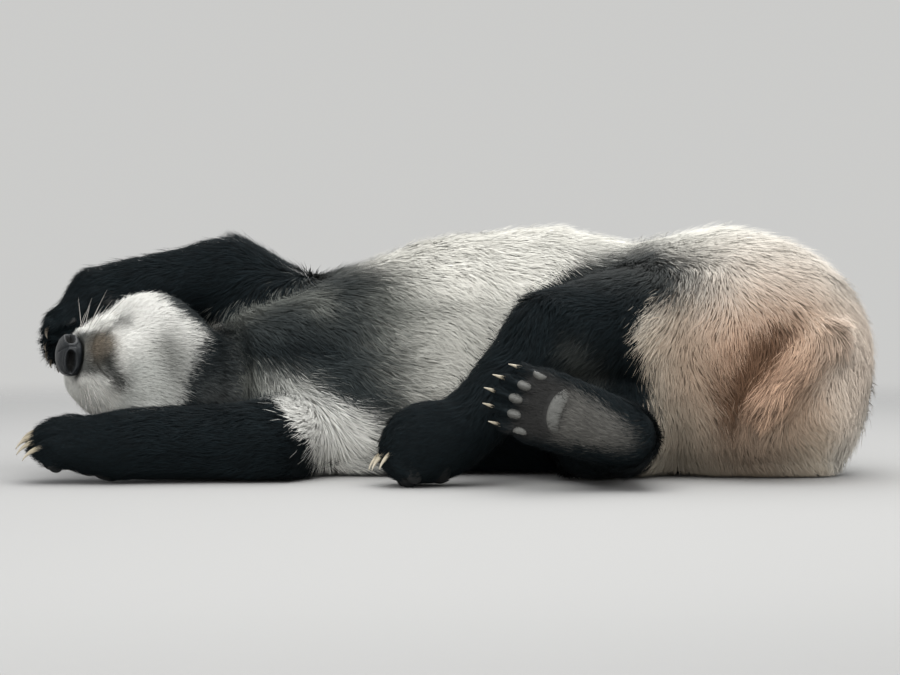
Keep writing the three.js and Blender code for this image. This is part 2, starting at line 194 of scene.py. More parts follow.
flesh = sorted(name for name in nodes if is_flesh(name))
shell_points, shell_faces, shell_owner = [], [], []
for index, name in enumerate(flesh):
    part = bmesh.new()
    part.from_mesh(nodes[name].data)
    bmesh.ops.remove_doubles(part, verts=part.verts, dist=SAME_PLACE)
    bmesh.ops.triangulate(part, faces=part.faces)
    base = len(shell_points)
    part.verts.ensure_lookup_table()
    shell_points += [tuple(v.co) for v in part.verts]
    shell_faces += [tuple(base + v.index for v in f.verts) for f in part.faces]
    shell_owner += [index] * len(part.faces)
    part.free()
shell_tree = BVHTree.FromPolygons(shell_points, shell_faces)
print(len(flesh), "parts of flesh,", len(shell_faces), "faces")


# %% Remesh and smooth
SMOOTH_ROUNDS = 14


def remeshed(points, faces, voxel):
    source = add_object("remesh_source", mesh_from("remesh_source", points, faces))
    voxels = source.modifiers.new("voxels", "REMESH")
    voxels.mode = "VOXEL"
    voxels.voxel_size = voxel
    graph = bpy.context.evaluated_depsgraph_get()
    made = bpy.data.meshes.new_from_object(source.evaluated_get(graph))
    bpy.data.objects.remove(source)
    return made


def largest_piece(mesh):
    whole = bmesh.new()
    whole.from_mesh(mesh)
    whole.verts.ensure_lookup_table()
    seen, best = set(), []
    for start in whole.verts:
        if start in seen:
            continue
        seen.add(start)
        found, edge = [start], [start]
        while edge:
            vert = edge.pop()
            for link in vert.link_edges:
                other = link.other_vert(vert)
                if other not in seen:
                    seen.add(other)
                    found.append(other)
                    edge.append(other)
        if len(found) > len(best):
            best = found
    keep = set(best)
    bmesh.ops.delete(whole, geom=[v for v in whole.verts if v not in keep], context="VERTS")
    whole.to_mesh(mesh)
    whole.free()
    return mesh


def owners(points):
    """The number of the part of flesh that each point is nearest to."""
    found = np.empty(len(points), np.int32)
    for i, p in enumerate(points):
        found[i] = shell_owner[shell_tree.find_nearest(Vector(p))[2]]
    return found


body = largest_piece(remeshed(shell_points, shell_faces, VOXEL))
net = Net(body)
points = net.ease(points_of(body), SMOOTH_ROUNDS, 0.5, -0.51)
points = net.spread(points, 4, 0.5)
set_points(body, points)
print("the body has", len(body.vertices), "points")

# %% [markdown]
# ## The head's own axes
# The head is turned and rolled, so a place on the face is awkward to give in metres of the room. Details
# of the face are placed in the head's own axes instead: forward to the nose, left, and up to the crown.
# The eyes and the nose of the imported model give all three.


# %% Head axes
def middle(name):
    low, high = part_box(name)
    return (np.array(low, float) + np.array(high, float)) / 2


# The line from the eyes to the nose falls this far below the head's own axis.
FACE_SLOPE = math.radians(38.0)
NOSE_AHEAD = 0.174
NOSE_BELOW = 0.030
nose_middle = np.array((NOSE_AHEAD, 0.0, -NOSE_BELOW))
head_left = unit(middle("eye_left") - middle("eye_right"))
brow_to_nose = middle("nose") - (middle("eye_left") + middle("eye_right")) / 2
brow_to_nose = unit(brow_to_nose - head_left * (brow_to_nose @ head_left))
over = np.cross(brow_to_nose, head_left)
head_forward = math.cos(FACE_SLOPE) * brow_to_nose + math.sin(FACE_SLOPE) * over
head_up = np.cross(head_forward, head_left)
head_axes = np.stack([head_forward, head_left, head_up])
head_centre = middle("nose") - NOSE_AHEAD * head_forward + NOSE_BELOW * head_up


def in_head(p):
    return (np.asarray(p) - head_centre) @ head_axes.T


def from_head(distances):
    return head_centre + np.asarray(distances) @ head_axes


eyes = {"left": middle("eye_left"), "right": middle("eye_right")}
print("head centre", head_centre.round(3), "eyes in the head", in_head(eyes["left"]).round(3))

# %% [markdown]
# ## The paws' own axes
# Each of the four paws is turned its own way, and toes, claws and pads look alike on all of them. So each
# paw gets axes of its own: ahead along the toes, across them, and out of its back. The row of five claws
# gives the line across, and how each wrist and ankle is turned gives the back.

# %% Paw axes
CLAWS = range(1, 6)
CLAW_LENGTH = 0.040
CLAW_BEND = math.radians(62)
claw_arc = CLAW_LENGTH / CLAW_BEND
BACK_OF_PAW = {
    "fore_left": (-0.75, 0.55, 0.35),
    "fore_right": (0.0, -0.35, 0.94),
    "hind_left": (-0.2, 0.0, 0.97),
    "hind_right": (0.0, 1.0, 0.0),
}


def node_points(name):
    """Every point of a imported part, once."""
    return np.unique(points_of(nodes[name].data).round(6), axis=0)


paws = {}
for leg, back_hint in BACK_OF_PAW.items():
    claw_points = [node_points(f"{leg}_claw_{number}") for number in CLAWS]
    across = unit(claw_points[4].mean(0) - claw_points[0].mean(0))
    back = unit(back_hint - across * (across @ back_hint))
    ahead = np.cross(across, back)
    tips = np.array([p[np.argmax(p @ (ahead - 1.5 * back))] for p in claw_points])
    reach = claw_arc * math.sin(CLAW_BEND)
    drop = claw_arc * (1 - math.cos(CLAW_BEND))
    roots = tips - ahead * reach + back * drop
    toe_gap = np.linalg.norm(roots[4] - roots[0]) / 4
    paws[leg] = {"axes": np.stack([ahead, across, back]), "roots": roots, "gap": toe_gap}
    print(leg, "toes point", ahead.round(2), "back faces", back.round(2))

# %% [markdown]
# ## How deep the coat is
# Fur hides the skin, so the outline of the animal is the outline of its coat. The skin has to lie inside
# it by the depth of the coat: long on the neck, back and rump, short on the face and feet. A table by
# parts, smoothed over the borders, is easier to tune than a painted map. Where the body rests on the
# floor its weight has pressed the coat flat.

# %% Coat depth
# How deep the coat is and how long its hair is, in millimetres, for each kind of part.
COAT_MM = {
    "rump": (15, 41),
    "belly": (13, 38),
    "chest": (14, 44),
    "neck": (13, 36),
    "head": (8, 23),
    "jaw": (6, 17),
    "ear": (6, 26),
    "tail": (10, 40),
    "upper": (12, 36),
    "lower": (10, 31),
    "paw": (5, 17),
}
DEPTH, HAIR = 0, 1
MUZZLE_COAT = 0.0035
EYE_COAT = 0.005
PRESSED_COAT = 0.004
EYE_ZONE = 0.026


def coat_measure(column):
    """One column of the table for every point, in metres."""
    words = [name.split("_") for name in flesh]
    by_part = [next(row[column] for key, row in COAT_MM.items() if key in found) for found in words]
    return np.array(by_part)[owner] * MM


def bump(distance, width):
    """One at no distance, fading softly to nothing over the width."""
    return np.exp(-((distance / width) ** 2))


owner = owners(points)
owner_name = np.array(flesh)[owner]
on_head = np.isin(owner_name, ["head", "jaw"])
depth = net.spread(coat_measure(DEPTH), 10)
place = in_head(points)
muzzle = smooth_step(0.095, 0.135, place[:, 0]) * net.spread(on_head.astype(float), 2)
depth += (MUZZLE_COAT - depth) * muzzle
for eye in eyes.values():
    depth += (EYE_COAT - depth) * bump(np.linalg.norm(points - eye, axis=1), EYE_ZONE)
out = normals_of(body)
pressed = smooth_step(0.035, 0.008, points[:, 2]) * smooth_step(-0.1, -0.7, out[:, 2])
depth += (PRESSED_COAT - depth) * pressed
points = net.spread(points - out * depth[:, None], 3, 0.4)
set_points(body, points)
print("coat depth runs from", depth.min().round(4), "to", depth.max().round(4))

# %% [markdown]
# ## Finer mesh where the form is finer
# Lids and lips are a millimetre or two across and the flank has no detail at all. One more subdivision
# everywhere would make millions of triangles, so long edges are split only on the face and the feet.

# %% Split edges on the face and feet
MOUTH_CORNER = (0.105, 0.047, -0.060)
MOUTH_FRONT = (0.150, 0.0, -0.059)
FACE_EDGE = 0.0028
CHEEK_EDGE = FACE_EDGE * 1.6
LID_EDGE = 0.0016
PAW_EDGE = 0.0045
BODY_EDGE = 0.02
TOE_ZONE = 0.085
LIP_ZONE = 0.012


def mouth_line(count=90):
    """The line where the lips meet, from corner to corner."""
    t = np.linspace(-1.0, 1.0, count)
    corner, front = np.array(MOUTH_CORNER), np.array(MOUTH_FRONT)
    ahead = corner[0] + (front[0] - corner[0]) * (1 - np.abs(t) ** 2.2)
    height = corner[2] + (front[2] - corner[2]) * (1 - t**2)
    return from_head(np.stack([ahead, corner[1] * np.sin(t * math.pi / 2), height], 1))


def distance_to(line, p):
    """How far each point is from the nearest point of a line."""
    tree = KDTree(len(line))
    for i, q in enumerate(line):
        tree.insert(q, i)
    tree.balance()
    return np.array([tree.find(q)[2] for q in p])


mouth_guide = mouth_line()


def wanted_edge(p):
    """The longest edge allowed at each place."""
    h = in_head(p)
    wanted = np.full(len(p), BODY_EDGE)
    for paw in paws.values():
        toes = paw["roots"].mean(0) - 0.02 * paw["axes"][0]
        wanted = np.where(np.linalg.norm(p - toes, axis=1) < TOE_ZONE, PAW_EDGE, wanted)
    face = (h[:, 0] > 0.03) & (np.abs(h[:, 1]) < 0.1) & (np.linalg.norm(h, axis=1) < 0.2)
    wanted = np.where(face, CHEEK_EDGE, wanted)
    wanted = np.where(face & (h[:, 0] > 0.085) & (h[:, 2] < 0.02), FACE_EDGE, wanted)
    for eye in eyes.values():
        wanted = np.where(np.linalg.norm(p - eye, axis=1) < EYE_ZONE, LID_EDGE, wanted)
    near_mouth = distance_to(mouth_guide, p) < LIP_ZONE
    return np.where(near_mouth, LID_EDGE, wanted)


def refine(mesh, wanted, rounds):
    """Splits every edge that is longer than wanted at its place, a few rounds over."""
    work = bmesh.new()
    work.from_mesh(mesh)
    bmesh.ops.triangulate(work, faces=work.faces)
    for _ in range(rounds):
        places = np.array([v.co for v in work.verts])
        work.verts.index_update()
        ends_of = np.array([(e.verts[0].index, e.verts[1].index) for e in work.edges])
        a, b = places[ends_of[:, 0]], places[ends_of[:, 1]]
        too_long = np.linalg.norm(a - b, axis=1) > wanted((a + b) / 2)
        if not too_long.any():
            break
        chosen = [e for e, long in zip(list(work.edges), too_long) if long]
        bmesh.ops.subdivide_edges(work, edges=chosen, cuts=1, use_grid_fill=True)
        many_sided = [f for f in work.faces if len(f.verts) > 3]
        bmesh.ops.triangulate(work, faces=many_sided, quad_method="SHORT_EDGE")
    work.to_mesh(mesh)
    work.free()
    mesh.update()


refine(body, wanted_edge, 3)
net = Net(body)
points = points_of(body)
fine = (wanted_edge(points) < BODY_EDGE).astype(float)[:, None]
points = net.ease(points, 4, 0.5, -0.5, fine)
points = net.spread(points, 2, 0.4, fine)
set_points(body, points)
print("the skin has", len(body.polygons), "triangles")

# %% [markdown]
# ## Face: lids, lips and ears
# The skin bulges over each closed eye, and a fine groove marks where the lids meet. A deeper groove runs
# round the muzzle where the lips meet, with a soft roll of lip on both sides. The ears are dished. These
# could be sculpted by hand. Here each is a smooth mask times a push along the skin, so it can be read,
# repeated and tuned by one number.


# %% Sculpt the face
def skin_tree(mesh):
    faces = [tuple(p.vertices) for p in mesh.polygons]
    return BVHTree.FromPolygons(points_of(mesh).tolist(), faces)


def onto_skin(tree, start, targets):
    """Where lines from start through each target leave the skin."""
    found = []
    for target in targets:
        direction = Vector(target) - Vector(start)
        hit = tree.ray_cast(Vector(start), direction)[0]
        found.append(hit if hit is not None else target)
    return np.array(found, float)


LIP_ROLL, LIP_GROOVE = 0.0010, 0.0020
NOSE_SIZE = (0.030, 0.037, 0.024)
COLLAR_HIGH = 0.0075
WHISKER_PAD_HIGH = 0.0050
EYE_RADIUS = 0.012
EYE_SUNK = 0.0060
LID_THICK = 0.0017
LID_GROOVE, CREASE_GROOVE = 0.0015, 0.0007
tree = skin_tree(body)
points, out = points_of(body), normals_of(body)
mouth = onto_skin(tree, from_head((0.09, 0.0, -0.045)), mouth_guide)
mouth_far = distance_to(mouth, points)
lips = LIP_ROLL * bump(mouth_far - 0.0055, 0.0035) - LIP_GROOVE * bump(mouth_far, 0.0020)
points = points + out * lips[:, None]

# The fur of the upper lip is packed up round the back of the nose.
h = in_head(points)
from_nose = h - nose_middle
collar = bump(np.linalg.norm(from_nose / NOSE_SIZE, axis=1) - 1.15, 0.30)
below_brow = smooth_step(0.7, -0.2, from_nose[:, 2] / NOSE_SIZE[2])
collar *= smooth_step(0.02, -0.02, from_nose[:, 0]) * below_brow
collar_way = unit(unit(from_nose * (0, 1, 1)) * 0.5 + (1, 0, 0)) @ head_axes
points = points + collar_way * (COLLAR_HIGH * collar)[:, None]

# The whisker pads swell out on both sides of the muzzle.
whisker_pad = smooth_step(0.020, 0.044, np.abs(h[:, 1])) * smooth_step(0.085, 0.120, h[:, 0])
whisker_pad *= smooth_step(0.178, 0.155, h[:, 0]) * smooth_step(0.03, 0.0, h[:, 2])
points = points + (WHISKER_PAD_HIGH * whisker_pad * np.sign(h[:, 1]))[:, None] * head_left

lid_lines = {}
for side, eye in eyes.items():
    outward = unit(in_head(np.array(eye)) * (0.35, 1.0, 0.9)) @ head_axes
    ball = eye - outward * EYE_SUNK
    eyes[side] = (ball, outward)
    away = points - ball
    far = np.linalg.norm(away, axis=1)
    facing = unit(away) @ outward
    lid_radius = (EYE_RADIUS + LID_THICK) * smooth_step(0.0, 0.5, facing)
    swell = np.maximum(lid_radius - far, 0.0)
    points = points + unit(away) * swell[:, None]
    inner = unit(middle("nose") - ball)
    inner = unit(inner - outward * (inner @ outward))
    down = np.cross(outward, inner)
    if down @ head_up > 0:
        down = -down
    t = np.linspace(-1, 1, 40)
    sag = 0.22 * (1 - t**2)
    fan = outward + 0.95 * t[:, None] * inner + (sag + 0.10)[:, None] * down
    lid_lines[side] = ball + unit(fan) * (EYE_RADIUS + LID_THICK)
    crease_fan = fan - 0.75 * down * (1 - 0.5 * t[:, None] ** 2)
    crease = ball + unit(crease_fan) * (EYE_RADIUS + LID_THICK)
    groove = LID_GROOVE * bump(distance_to(lid_lines[side], points), 0.0012)
    groove += CREASE_GROOVE * bump(distance_to(crease, points), 0.0014)
    points = points - unit(points - ball) * groove[:, None]

EAR_AT = (-0.062, 0.084, 0.092)
EAR_RADIUS = 0.044
EAR_DISH = 0.011
h = in_head(points)
for side in (1, -1):
    offset = h - np.array(EAR_AT) * (1, side, 1)
    from_middle = np.linalg.norm(offset[:, 1:], axis=1) / EAR_RADIUS
    front = smooth_step(-0.004, 0.004, offset[:, 0]) * (np.abs(offset[:, 0]) < 0.03)
    dish = EAR_DISH * np.clip(1 - (from_middle / 0.8) ** 2, 0, 1) * front
    points = points - head_forward * dish[:, None]
print("lips and lids are cut in")

# %% [markdown]
# ## Feet: toes
# Five rounded toes stand side by side at the front of every paw. They could be five bodies joined on, but
# fur softens them so much that a wave across the paw is enough. It is strongest at the front edge, raises
# each toe under its claw and sinks the skin between two toes.

# %% Sculpt the toes
TOE_RAISE = 0.0042
for leg, paw in paws.items():
    local = (points - paw["roots"].mean(0)) @ paw["axes"].T
    near = (np.abs(local[:, 1]) < 2.9 * paw["gap"]) & (local[:, 0] > -0.045) & (local[:, 0] < 0.04)
    near &= np.abs(local[:, 2]) < 0.06
    wave = np.cos(2 * math.pi * local[:, 1] / paw["gap"])
    strength = smooth_step(-0.042, -0.008, local[:, 0]) * near
    points = points + out * (TOE_RAISE * wave * strength)[:, None]
set_points(body, points)
out = normals_of(body)
print("toes raised on", len(paws), "paws")

# %% [markdown]
# ## Nose
# The pad of the nose is bare leathery skin: a rounded triangle, pebbled, with a comma-shaped nostril on
# each side and a groove down the middle to the lip. It is a piece of its own, because its edge against
# the fur is sharp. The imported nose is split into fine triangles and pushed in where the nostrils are, so
# they are real holes and not dark spots.

# %% Build the nose
NOSE_EDGE = 0.0011
NOSTRIL_INNER = (0.36, 0.34, -0.87)
NOSTRIL_OUTER = (0.22, 0.93, -0.28)
NOSTRIL_DEEP, NOSTRIL_RIM, NOSE_GROOVE = 0.013, 0.0010, 0.0022
NOSE_FRONT, NOSE_FLAT_FROM = 0.204, 0.188
NOSE_FLATTER, NOSE_SHORTER, NOSE_NARROWER = 0.72, 0.86, 0.20
NOSE_SET_BACK = 0.0052


def refined_node(name, edge, rounds, ease):
    """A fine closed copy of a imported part, with its facets eased round."""
    part = bmesh.new()
    part.from_mesh(nodes[name].data)
    bmesh.ops.remove_doubles(part, verts=part.verts, dist=SAME_PLACE)
    made = bpy.data.meshes.new(name + "_fine")
    part.to_mesh(made)
    part.free()
    refine(made, lambda p: np.full(len(p), edge), rounds)
    own_net = Net(made)
    set_points(made, own_net.ease(points_of(made), ease, 0.6, -0.5))
    return made, own_net


nose_mesh, nose_net = refined_node("nose", NOSE_EDGE, 5, 26)
nose_out = normals_of(nose_mesh)
q = in_head(points_of(nose_mesh))
flatter = NOSE_FLAT_FROM + NOSE_FLATTER * (q[:, 0] - NOSE_FLAT_FROM)
q[:, 0] = np.where(q[:, 0] > NOSE_FLAT_FROM, flatter, q[:, 0])
q[:, 0] = NOSE_FRONT + (q[:, 0] - NOSE_FRONT) * NOSE_SHORTER - NOSE_SET_BACK
q[:, 1] *= 1 - NOSE_NARROWER * smooth_step(-0.036, -0.058, q[:, 2])
facing = unit((q - nose_middle + (NOSE_SET_BACK, 0, 0)) / NOSE_SIZE)
deep = np.zeros(len(q))
rim = np.zeros(len(q))
for sign in (1, -1):
    inner = unit(np.array(NOSTRIL_INNER) * (1, sign, 1))
    outer = unit(np.array(NOSTRIL_OUTER) * (1, sign, 1))
    for share in np.linspace(0, 1, 9):
        centre = unit(inner + (outer - inner) * share)
        radius = 0.22 + 0.10 * math.sin(math.pi * share) - 0.10 * share**2
        far = np.linalg.norm(facing - centre, axis=1) / radius
        deep = np.maximum(deep, smooth_step(1.05, 0.60, far) * (1 - 0.25 * share))
        rim = np.maximum(rim, bump(far - 1.35, 0.3))
ahead_side = smooth_step(0.0, 0.35, facing[:, 0])
groove = bump(q[:, 1], 0.0017) * smooth_step(-0.030, -0.040, q[:, 2]) * ahead_side
push = NOSTRIL_RIM * rim * (1 - deep) - NOSTRIL_DEEP * deep - NOSE_GROOVE * groove
p = from_head(q) + nose_out * push[:, None]
set_points(nose_mesh, nose_net.spread(p, 2, 0.4))
nose = add_object("nose_pad", nose_mesh)
keep_on_points(nose_mesh, "hole", deep)
nose_mesh.shade_smooth()
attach(nose, "root")
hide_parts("nose")
print("the nose has", len(nose_mesh.polygons), "triangles")

# %% [markdown]
# ## Eyes
# The animal sleeps, so hardly anything of an eye shows between the lids. A disc would do for one view.
# These are whole balls with a raised cornea, because then the lids rest on something round from every
# side. A ball is built as a tube of rings closed at both ends, as the claws and whiskers are.


# %% Build the eyes
EYE_ROWS, EYE_AROUND = 18, 28
CORNEA, CORNEA_WIDE = 0.0011, 0.55


def grid_faces(rows, columns):
    """Quads of a tube of rows around columns."""
    made = []
    for r in range(rows - 1):
        for c in range(columns):
            d = (c + 1) % columns
            made.append((r * columns + c, r * columns + d, (r + 1) * columns + d, (r + 1) * columns + c))
    return made


def closed_tube(base, rows, columns):
    """The sides and both ends of a tube whose points start at number base."""
    sides = [tuple(base + k for k in face) for face in grid_faces(rows, columns)]
    first_end = tuple(base + k for k in range(columns - 1, -1, -1))
    last_end = tuple(base + (rows - 1) * columns + k for k in range(columns))
    return sides + [first_end, last_end]


def turns_of(count):
    """Equal turns round a ring."""
    return [2 * math.pi * c / count for c in range(count)]


eye_pieces = []
for side, (ball, outward) in eyes.items():
    across_eye = unit(np.cross(outward, head_up))
    up_eye = np.cross(across_eye, outward)
    places = []
    for r in range(EYE_ROWS):
        angle = math.pi * (r + 0.5) / EYE_ROWS
        radius = EYE_RADIUS + CORNEA * math.exp(-((angle / CORNEA_WIDE) ** 2))
        for turn in turns_of(EYE_AROUND):
            ring = math.cos(turn) * across_eye + math.sin(turn) * up_eye
            places.append(ball + radius * (math.cos(angle) * outward + math.sin(angle) * ring))
    mesh = mesh_from(f"eyeball_{side}", places, closed_tube(0, EYE_ROWS, EYE_AROUND))
    keep_on_points(mesh, "iris", unit(np.array(places) - ball) @ outward)
    mesh.shade_smooth()
    eye_piece = add_object(f"eyeball_{side}", mesh)
    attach(eye_piece, "root")
    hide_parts(f"eye_{side}")
    eye_pieces.append(eye_piece)
print(len(eye_pieces), "eyes")

# %% [markdown]
# ## Claws
# A claw is a curved horn, deeper than it is wide and flatter beneath. A cone bent by a modifier would
# look the same, but a tube along an arc lets each claw start inside its toe and end exactly where the
# packed claw ends. The claws of a paw share one piece.

# %% Build the claws
CLAW_BASE, CLAW_TIP = 0.0062, 0.0007
CLAW_ROWS, CLAW_AROUND = 13, 12
CLAW_ROOTED = 0.014
CLAW_NARROW, CLAW_UNDER, CLAW_FULLER = 0.72, 0.72, 0.12
# The claws of the upper forepaw lie in shade, so they are painted from the dark end of the horn only:
# painted shade.
CLAW_LIT_SHARE = {"fore_left": 0.2, "fore_right": 1.0, "hind_left": 1.0, "hind_right": 1.0}
claw_pieces = []
for leg, paw in paws.items():
    ahead, across, back = paw["axes"]
    places, faces = [], []
    for root in paw["roots"]:
        faces += closed_tube(len(places), CLAW_ROWS, CLAW_AROUND)
        for r in range(CLAW_ROWS):
            along = r / (CLAW_ROWS - 1)
            arc = along * (CLAW_LENGTH + CLAW_ROOTED) - CLAW_ROOTED
            angle = max(arc, 0.0) / claw_arc
            centre = root + ahead * (claw_arc * math.sin(angle) + min(arc, 0.0))
            centre = centre - back * claw_arc * (1 - math.cos(angle))
            up = math.cos(angle) * back + math.sin(angle) * ahead
            radius = CLAW_BASE + (CLAW_TIP - CLAW_BASE) * max(arc, 0.0) / CLAW_LENGTH
            radius *= 1 + CLAW_FULLER * math.sin(math.pi * along)
            for turn in turns_of(CLAW_AROUND):
                under = CLAW_UNDER if math.sin(turn) < 0 else 1.0
                sideways = across * radius * CLAW_NARROW * math.cos(turn)
                places.append(centre + sideways + up * radius * under * math.sin(turn))
    mesh = mesh_from(f"claws_{leg}", places, faces)
    row_share = np.tile(np.repeat(np.linspace(0, 1, CLAW_ROWS), CLAW_AROUND), len(CLAWS))
    keep_on_points(mesh, "along", row_share * CLAW_LIT_SHARE[leg])
    mesh.shade_smooth()
    claws = add_object(f"claws_{leg}", mesh)
    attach(claws, "root")
    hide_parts(*[f"{leg}_claw_{number}" for number in CLAWS])
    claw_pieces.append(claws)
print(len(claw_pieces) * len(CLAWS), "claws")

# %% [markdown]
# ## Pads of the feet
# A bear walks on bare leathery cushions: one under each toe and a long one across the sole, with two
# more at the wrist. They could be painted on the skin, but a real pad stands proud of it. Each is a low
# dome. Lines are sent out from inside the paw to find where the sole is, and the dome is laid on it.

# %% Build the pads
TOE_PAD = (0.0112, 0.0080, 0.0085)
TOE_PAD_BEHIND = 0.0165
LONG_PAD, LONG_PAD_AT = (0.0120, 0.037, 0.0055), (-0.066, 0.004)
LONG_PAD_CURVE, LONG_PAD_DIPS = 0.010, 0.08
INNER_WRIST_PAD, OUTER_WRIST_PAD = (0.014, 0.011, 0.006), (0.018, 0.010, 0.006)
PAD_ROWS, PAD_AROUND = 10, 26
PAD_SUNK = 0.0012
PAD_POLE = 1e-6  # the first ring of a dome is one point, so what is closer than this is merged
SOLE_WITHIN = 0.045
WORN_PADS = {"fore_left": 0.0, "fore_right": 0.0, "hind_left": 0.0, "hind_right": 1.0}
tree = skin_tree(body)


def pad_dome(paw, start, half, curve=0.0, dips=0.0):
    """A low dome on the sole. Start and half are along the toes, across them, and its height."""
    corners = 2.0 if curve == 0.0 else 2.6
    axes = paw["axes"]
    places = []
    for r in range(PAD_ROWS):
        far = r / (PAD_ROWS - 1)
        for turn in turns_of(PAD_AROUND):
            square = (abs(math.cos(turn)) ** corners + abs(math.sin(turn)) ** corners) ** (-1 / corners)
            du = far * math.cos(turn) * square
            dv = far * math.sin(turn) * square
            local = np.array((start[0] + half[0] * du - curve * dv * dv, start[1] + half[1] * dv, -0.004))
            inside = paw["roots"].mean(0) + local @ axes - axes[2] * 0.008
            hit, _, _, distance = tree.ray_cast(Vector(inside), Vector(-axes[2]))
            if hit is None or distance > SOLE_WITHIN:
                hit = tree.find_nearest(Vector(inside - axes[2] * 0.02))[0]
            dome = half[2] * (1 - far**2.4) ** 0.5 * (1 + dips * math.cos(5 * math.pi * dv))
            places.append(np.array(hit) - axes[2] * (dome - PAD_SUNK))
    return places


pad_pieces = []
pad_centres = []
for leg, paw in paws.items():
    local_roots = (paw["roots"] - paw["roots"].mean(0)) @ paw["axes"].T
    wanted = [((r[0] - TOE_PAD_BEHIND, r[1]), TOE_PAD) for r in local_roots]
    wanted.append((LONG_PAD_AT, LONG_PAD, LONG_PAD_CURVE, LONG_PAD_DIPS))
    if leg.startswith("fore"):
        wanted.append(((-0.106, -1.4 * paw["gap"]), INNER_WRIST_PAD))
        wanted.append(((-0.100, 1.7 * paw["gap"]), OUTER_WRIST_PAD))
    places, faces = [], []
    for pad in wanted:
        faces += [tuple(len(places) + k for k in f) for f in grid_faces(PAD_ROWS, PAD_AROUND)]
        dome = pad_dome(paw, *pad)
        pad_centres.append((dome[0], pad[1], paw["axes"]))
        places += dome
    mesh = mesh_from(f"pads_{leg}", places, faces)
    own = bmesh.new()
    own.from_mesh(mesh)
    bmesh.ops.remove_doubles(own, verts=own.verts, dist=PAD_POLE)
    bmesh.ops.recalc_face_normals(own, faces=own.faces)
    own.to_mesh(mesh)
    own.free()
    mesh.shade_smooth()
    keep_on_points(mesh, "worn", np.full(len(mesh.vertices), WORN_PADS[leg]))
    pads = add_object(f"pads_{leg}", mesh)
    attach(pads, "root")
    pad_pieces.append(pads)
    print(pads.name, len(wanted), "pads,", len(mesh.polygons), "faces")


def off_pads(p):
    """Zero on the pads and one clear of them."""
    clear = np.ones(len(p))
    for centre, half, axes in pad_centres:
        local = (p - centre) @ axes.T
        far = np.hypot(local[:, 0] / half[0], local[:, 1] / half[1])
        far = np.where(np.abs(local[:, 2]) < 0.03, far, 9.0)
        clear = np.minimum(clear, smooth_step(0.65, 1.0, far))
    return clear


# %% [markdown]
# ## Whiskers
# A few stiff hairs stand in rows on each side of the muzzle, longer and thicker than the coat. Curves
# with a bevel would do, but thin closed tubes export as they are. They lean to the belly side, clear of
# the leg that lies over the face, and are shorter on the side that faces the floor.

# %% Build the whiskers
CLEAR_OF_LEG = np.array((0.0, -0.45, 0.0))
WHISKER_ROWS, WHISKER_COLUMNS = 4, 5
WHISKER_SHORTEST, WHISKER_LONGEST = 0.040, 0.075
WHISKER_SIDES = 5
WHISKER_DROOP = np.array((0, 0, -0.005))
# Where rings stand along a whisker, and how thick it is there. It starts a little inside the skin.
WHISKER_RINGS = ((-0.05, 0.0005), (0.35, 0.00045), (0.7, 0.0003), (1.0, 0.00008))
whisker_lines = []
for sign, room in ((1, 1.0), (-1, 0.6)):
    for row in range(WHISKER_ROWS):
        for column in range(WHISKER_COLUMNS):
            target = from_head((0.118 + 0.010 * column, sign * 0.060, -0.052 + 0.011 * row))
            root = onto_skin(tree, from_head((0.125, 0.0, -0.035)), [target])[0]
            away = unit(root - from_head((0.155, 0.0, -0.04)))
            sweep = unit(away - 0.30 * head_forward + CLEAR_OF_LEG + dice.normal(0, 0.12, 3))
            tip = root + sweep * room * dice.uniform(WHISKER_SHORTEST, WHISKER_LONGEST)
            whisker_lines.append((root, tip))
places, faces = [], []
for root, tip in whisker_lines:
    faces += closed_tube(len(places), len(WHISKER_RINGS), WHISKER_SIDES)
    axis = tip - root
    first = unit(np.cross(axis, head_up))
    second = unit(np.cross(axis, first))
    for at, radius in WHISKER_RINGS:
        for turn in turns_of(WHISKER_SIDES):
            ring = math.cos(turn) * first + math.sin(turn) * second
            places.append(root + axis * at + WHISKER_DROOP * at * at + ring * radius)
whiskers = add_object("whiskers", mesh_from("whiskers", places, faces))
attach(whiskers, "root")
print(len(whisker_lines), "whiskers")

# %% [markdown]
# ## Markings
# Legs, ears and eye patches are black, a black yoke crosses the shoulders, the belly is grey between yoke
# and flank, and the seat is stained brown as old fur often is. The colours could be painted by hand on a
# flat picture of the skin. Here they are laid on as soft masks and brush strokes in a fixed order, each
# over the last. Skin and coat read the same colours, so they agree wherever the skin shows.
# Some strokes are painted shade: in the seat's cleft and low on the seat, under the belly, in a fold of the
# chest, on the jaw and throat, along the top of the head and at one corner of the mouth. One stroke is
# painted light on the side of the seat.

# %% Tints
WHITE = (0.76, 0.74, 0.66)
CREAM = (0.60, 0.54, 0.42)
FACE_WHITE = (0.78, 0.77, 0.71)
BLACK = (0.0050, 0.0088, 0.0105)
BELLY_GREY = (0.16, 0.165, 0.145)
CHEST_GREY = (0.022, 0.028, 0.029)
PALE_STAIN = (0.67, 0.465, 0.325)
STAIN = (0.37, 0.225, 0.145)
TAIL_BROWN = (0.33, 0.215, 0.145)
HIP_GREY = (0.095, 0.098, 0.092)
# The brown of the stain, deepened as painted shade in the cleft of the seat.
CLEFT_STAIN_AND_SHADE = (0.13, 0.072, 0.042)
# Painted light for the side of the seat.
SEAT_PAINTED_LIGHT = (0.86, 0.73, 0.60)
# Painted shade for the throat behind the jaw.
THROAT_SHADE_GREY = (0.115, 0.118, 0.105)
CHIN = (0.125, 0.103, 0.076)
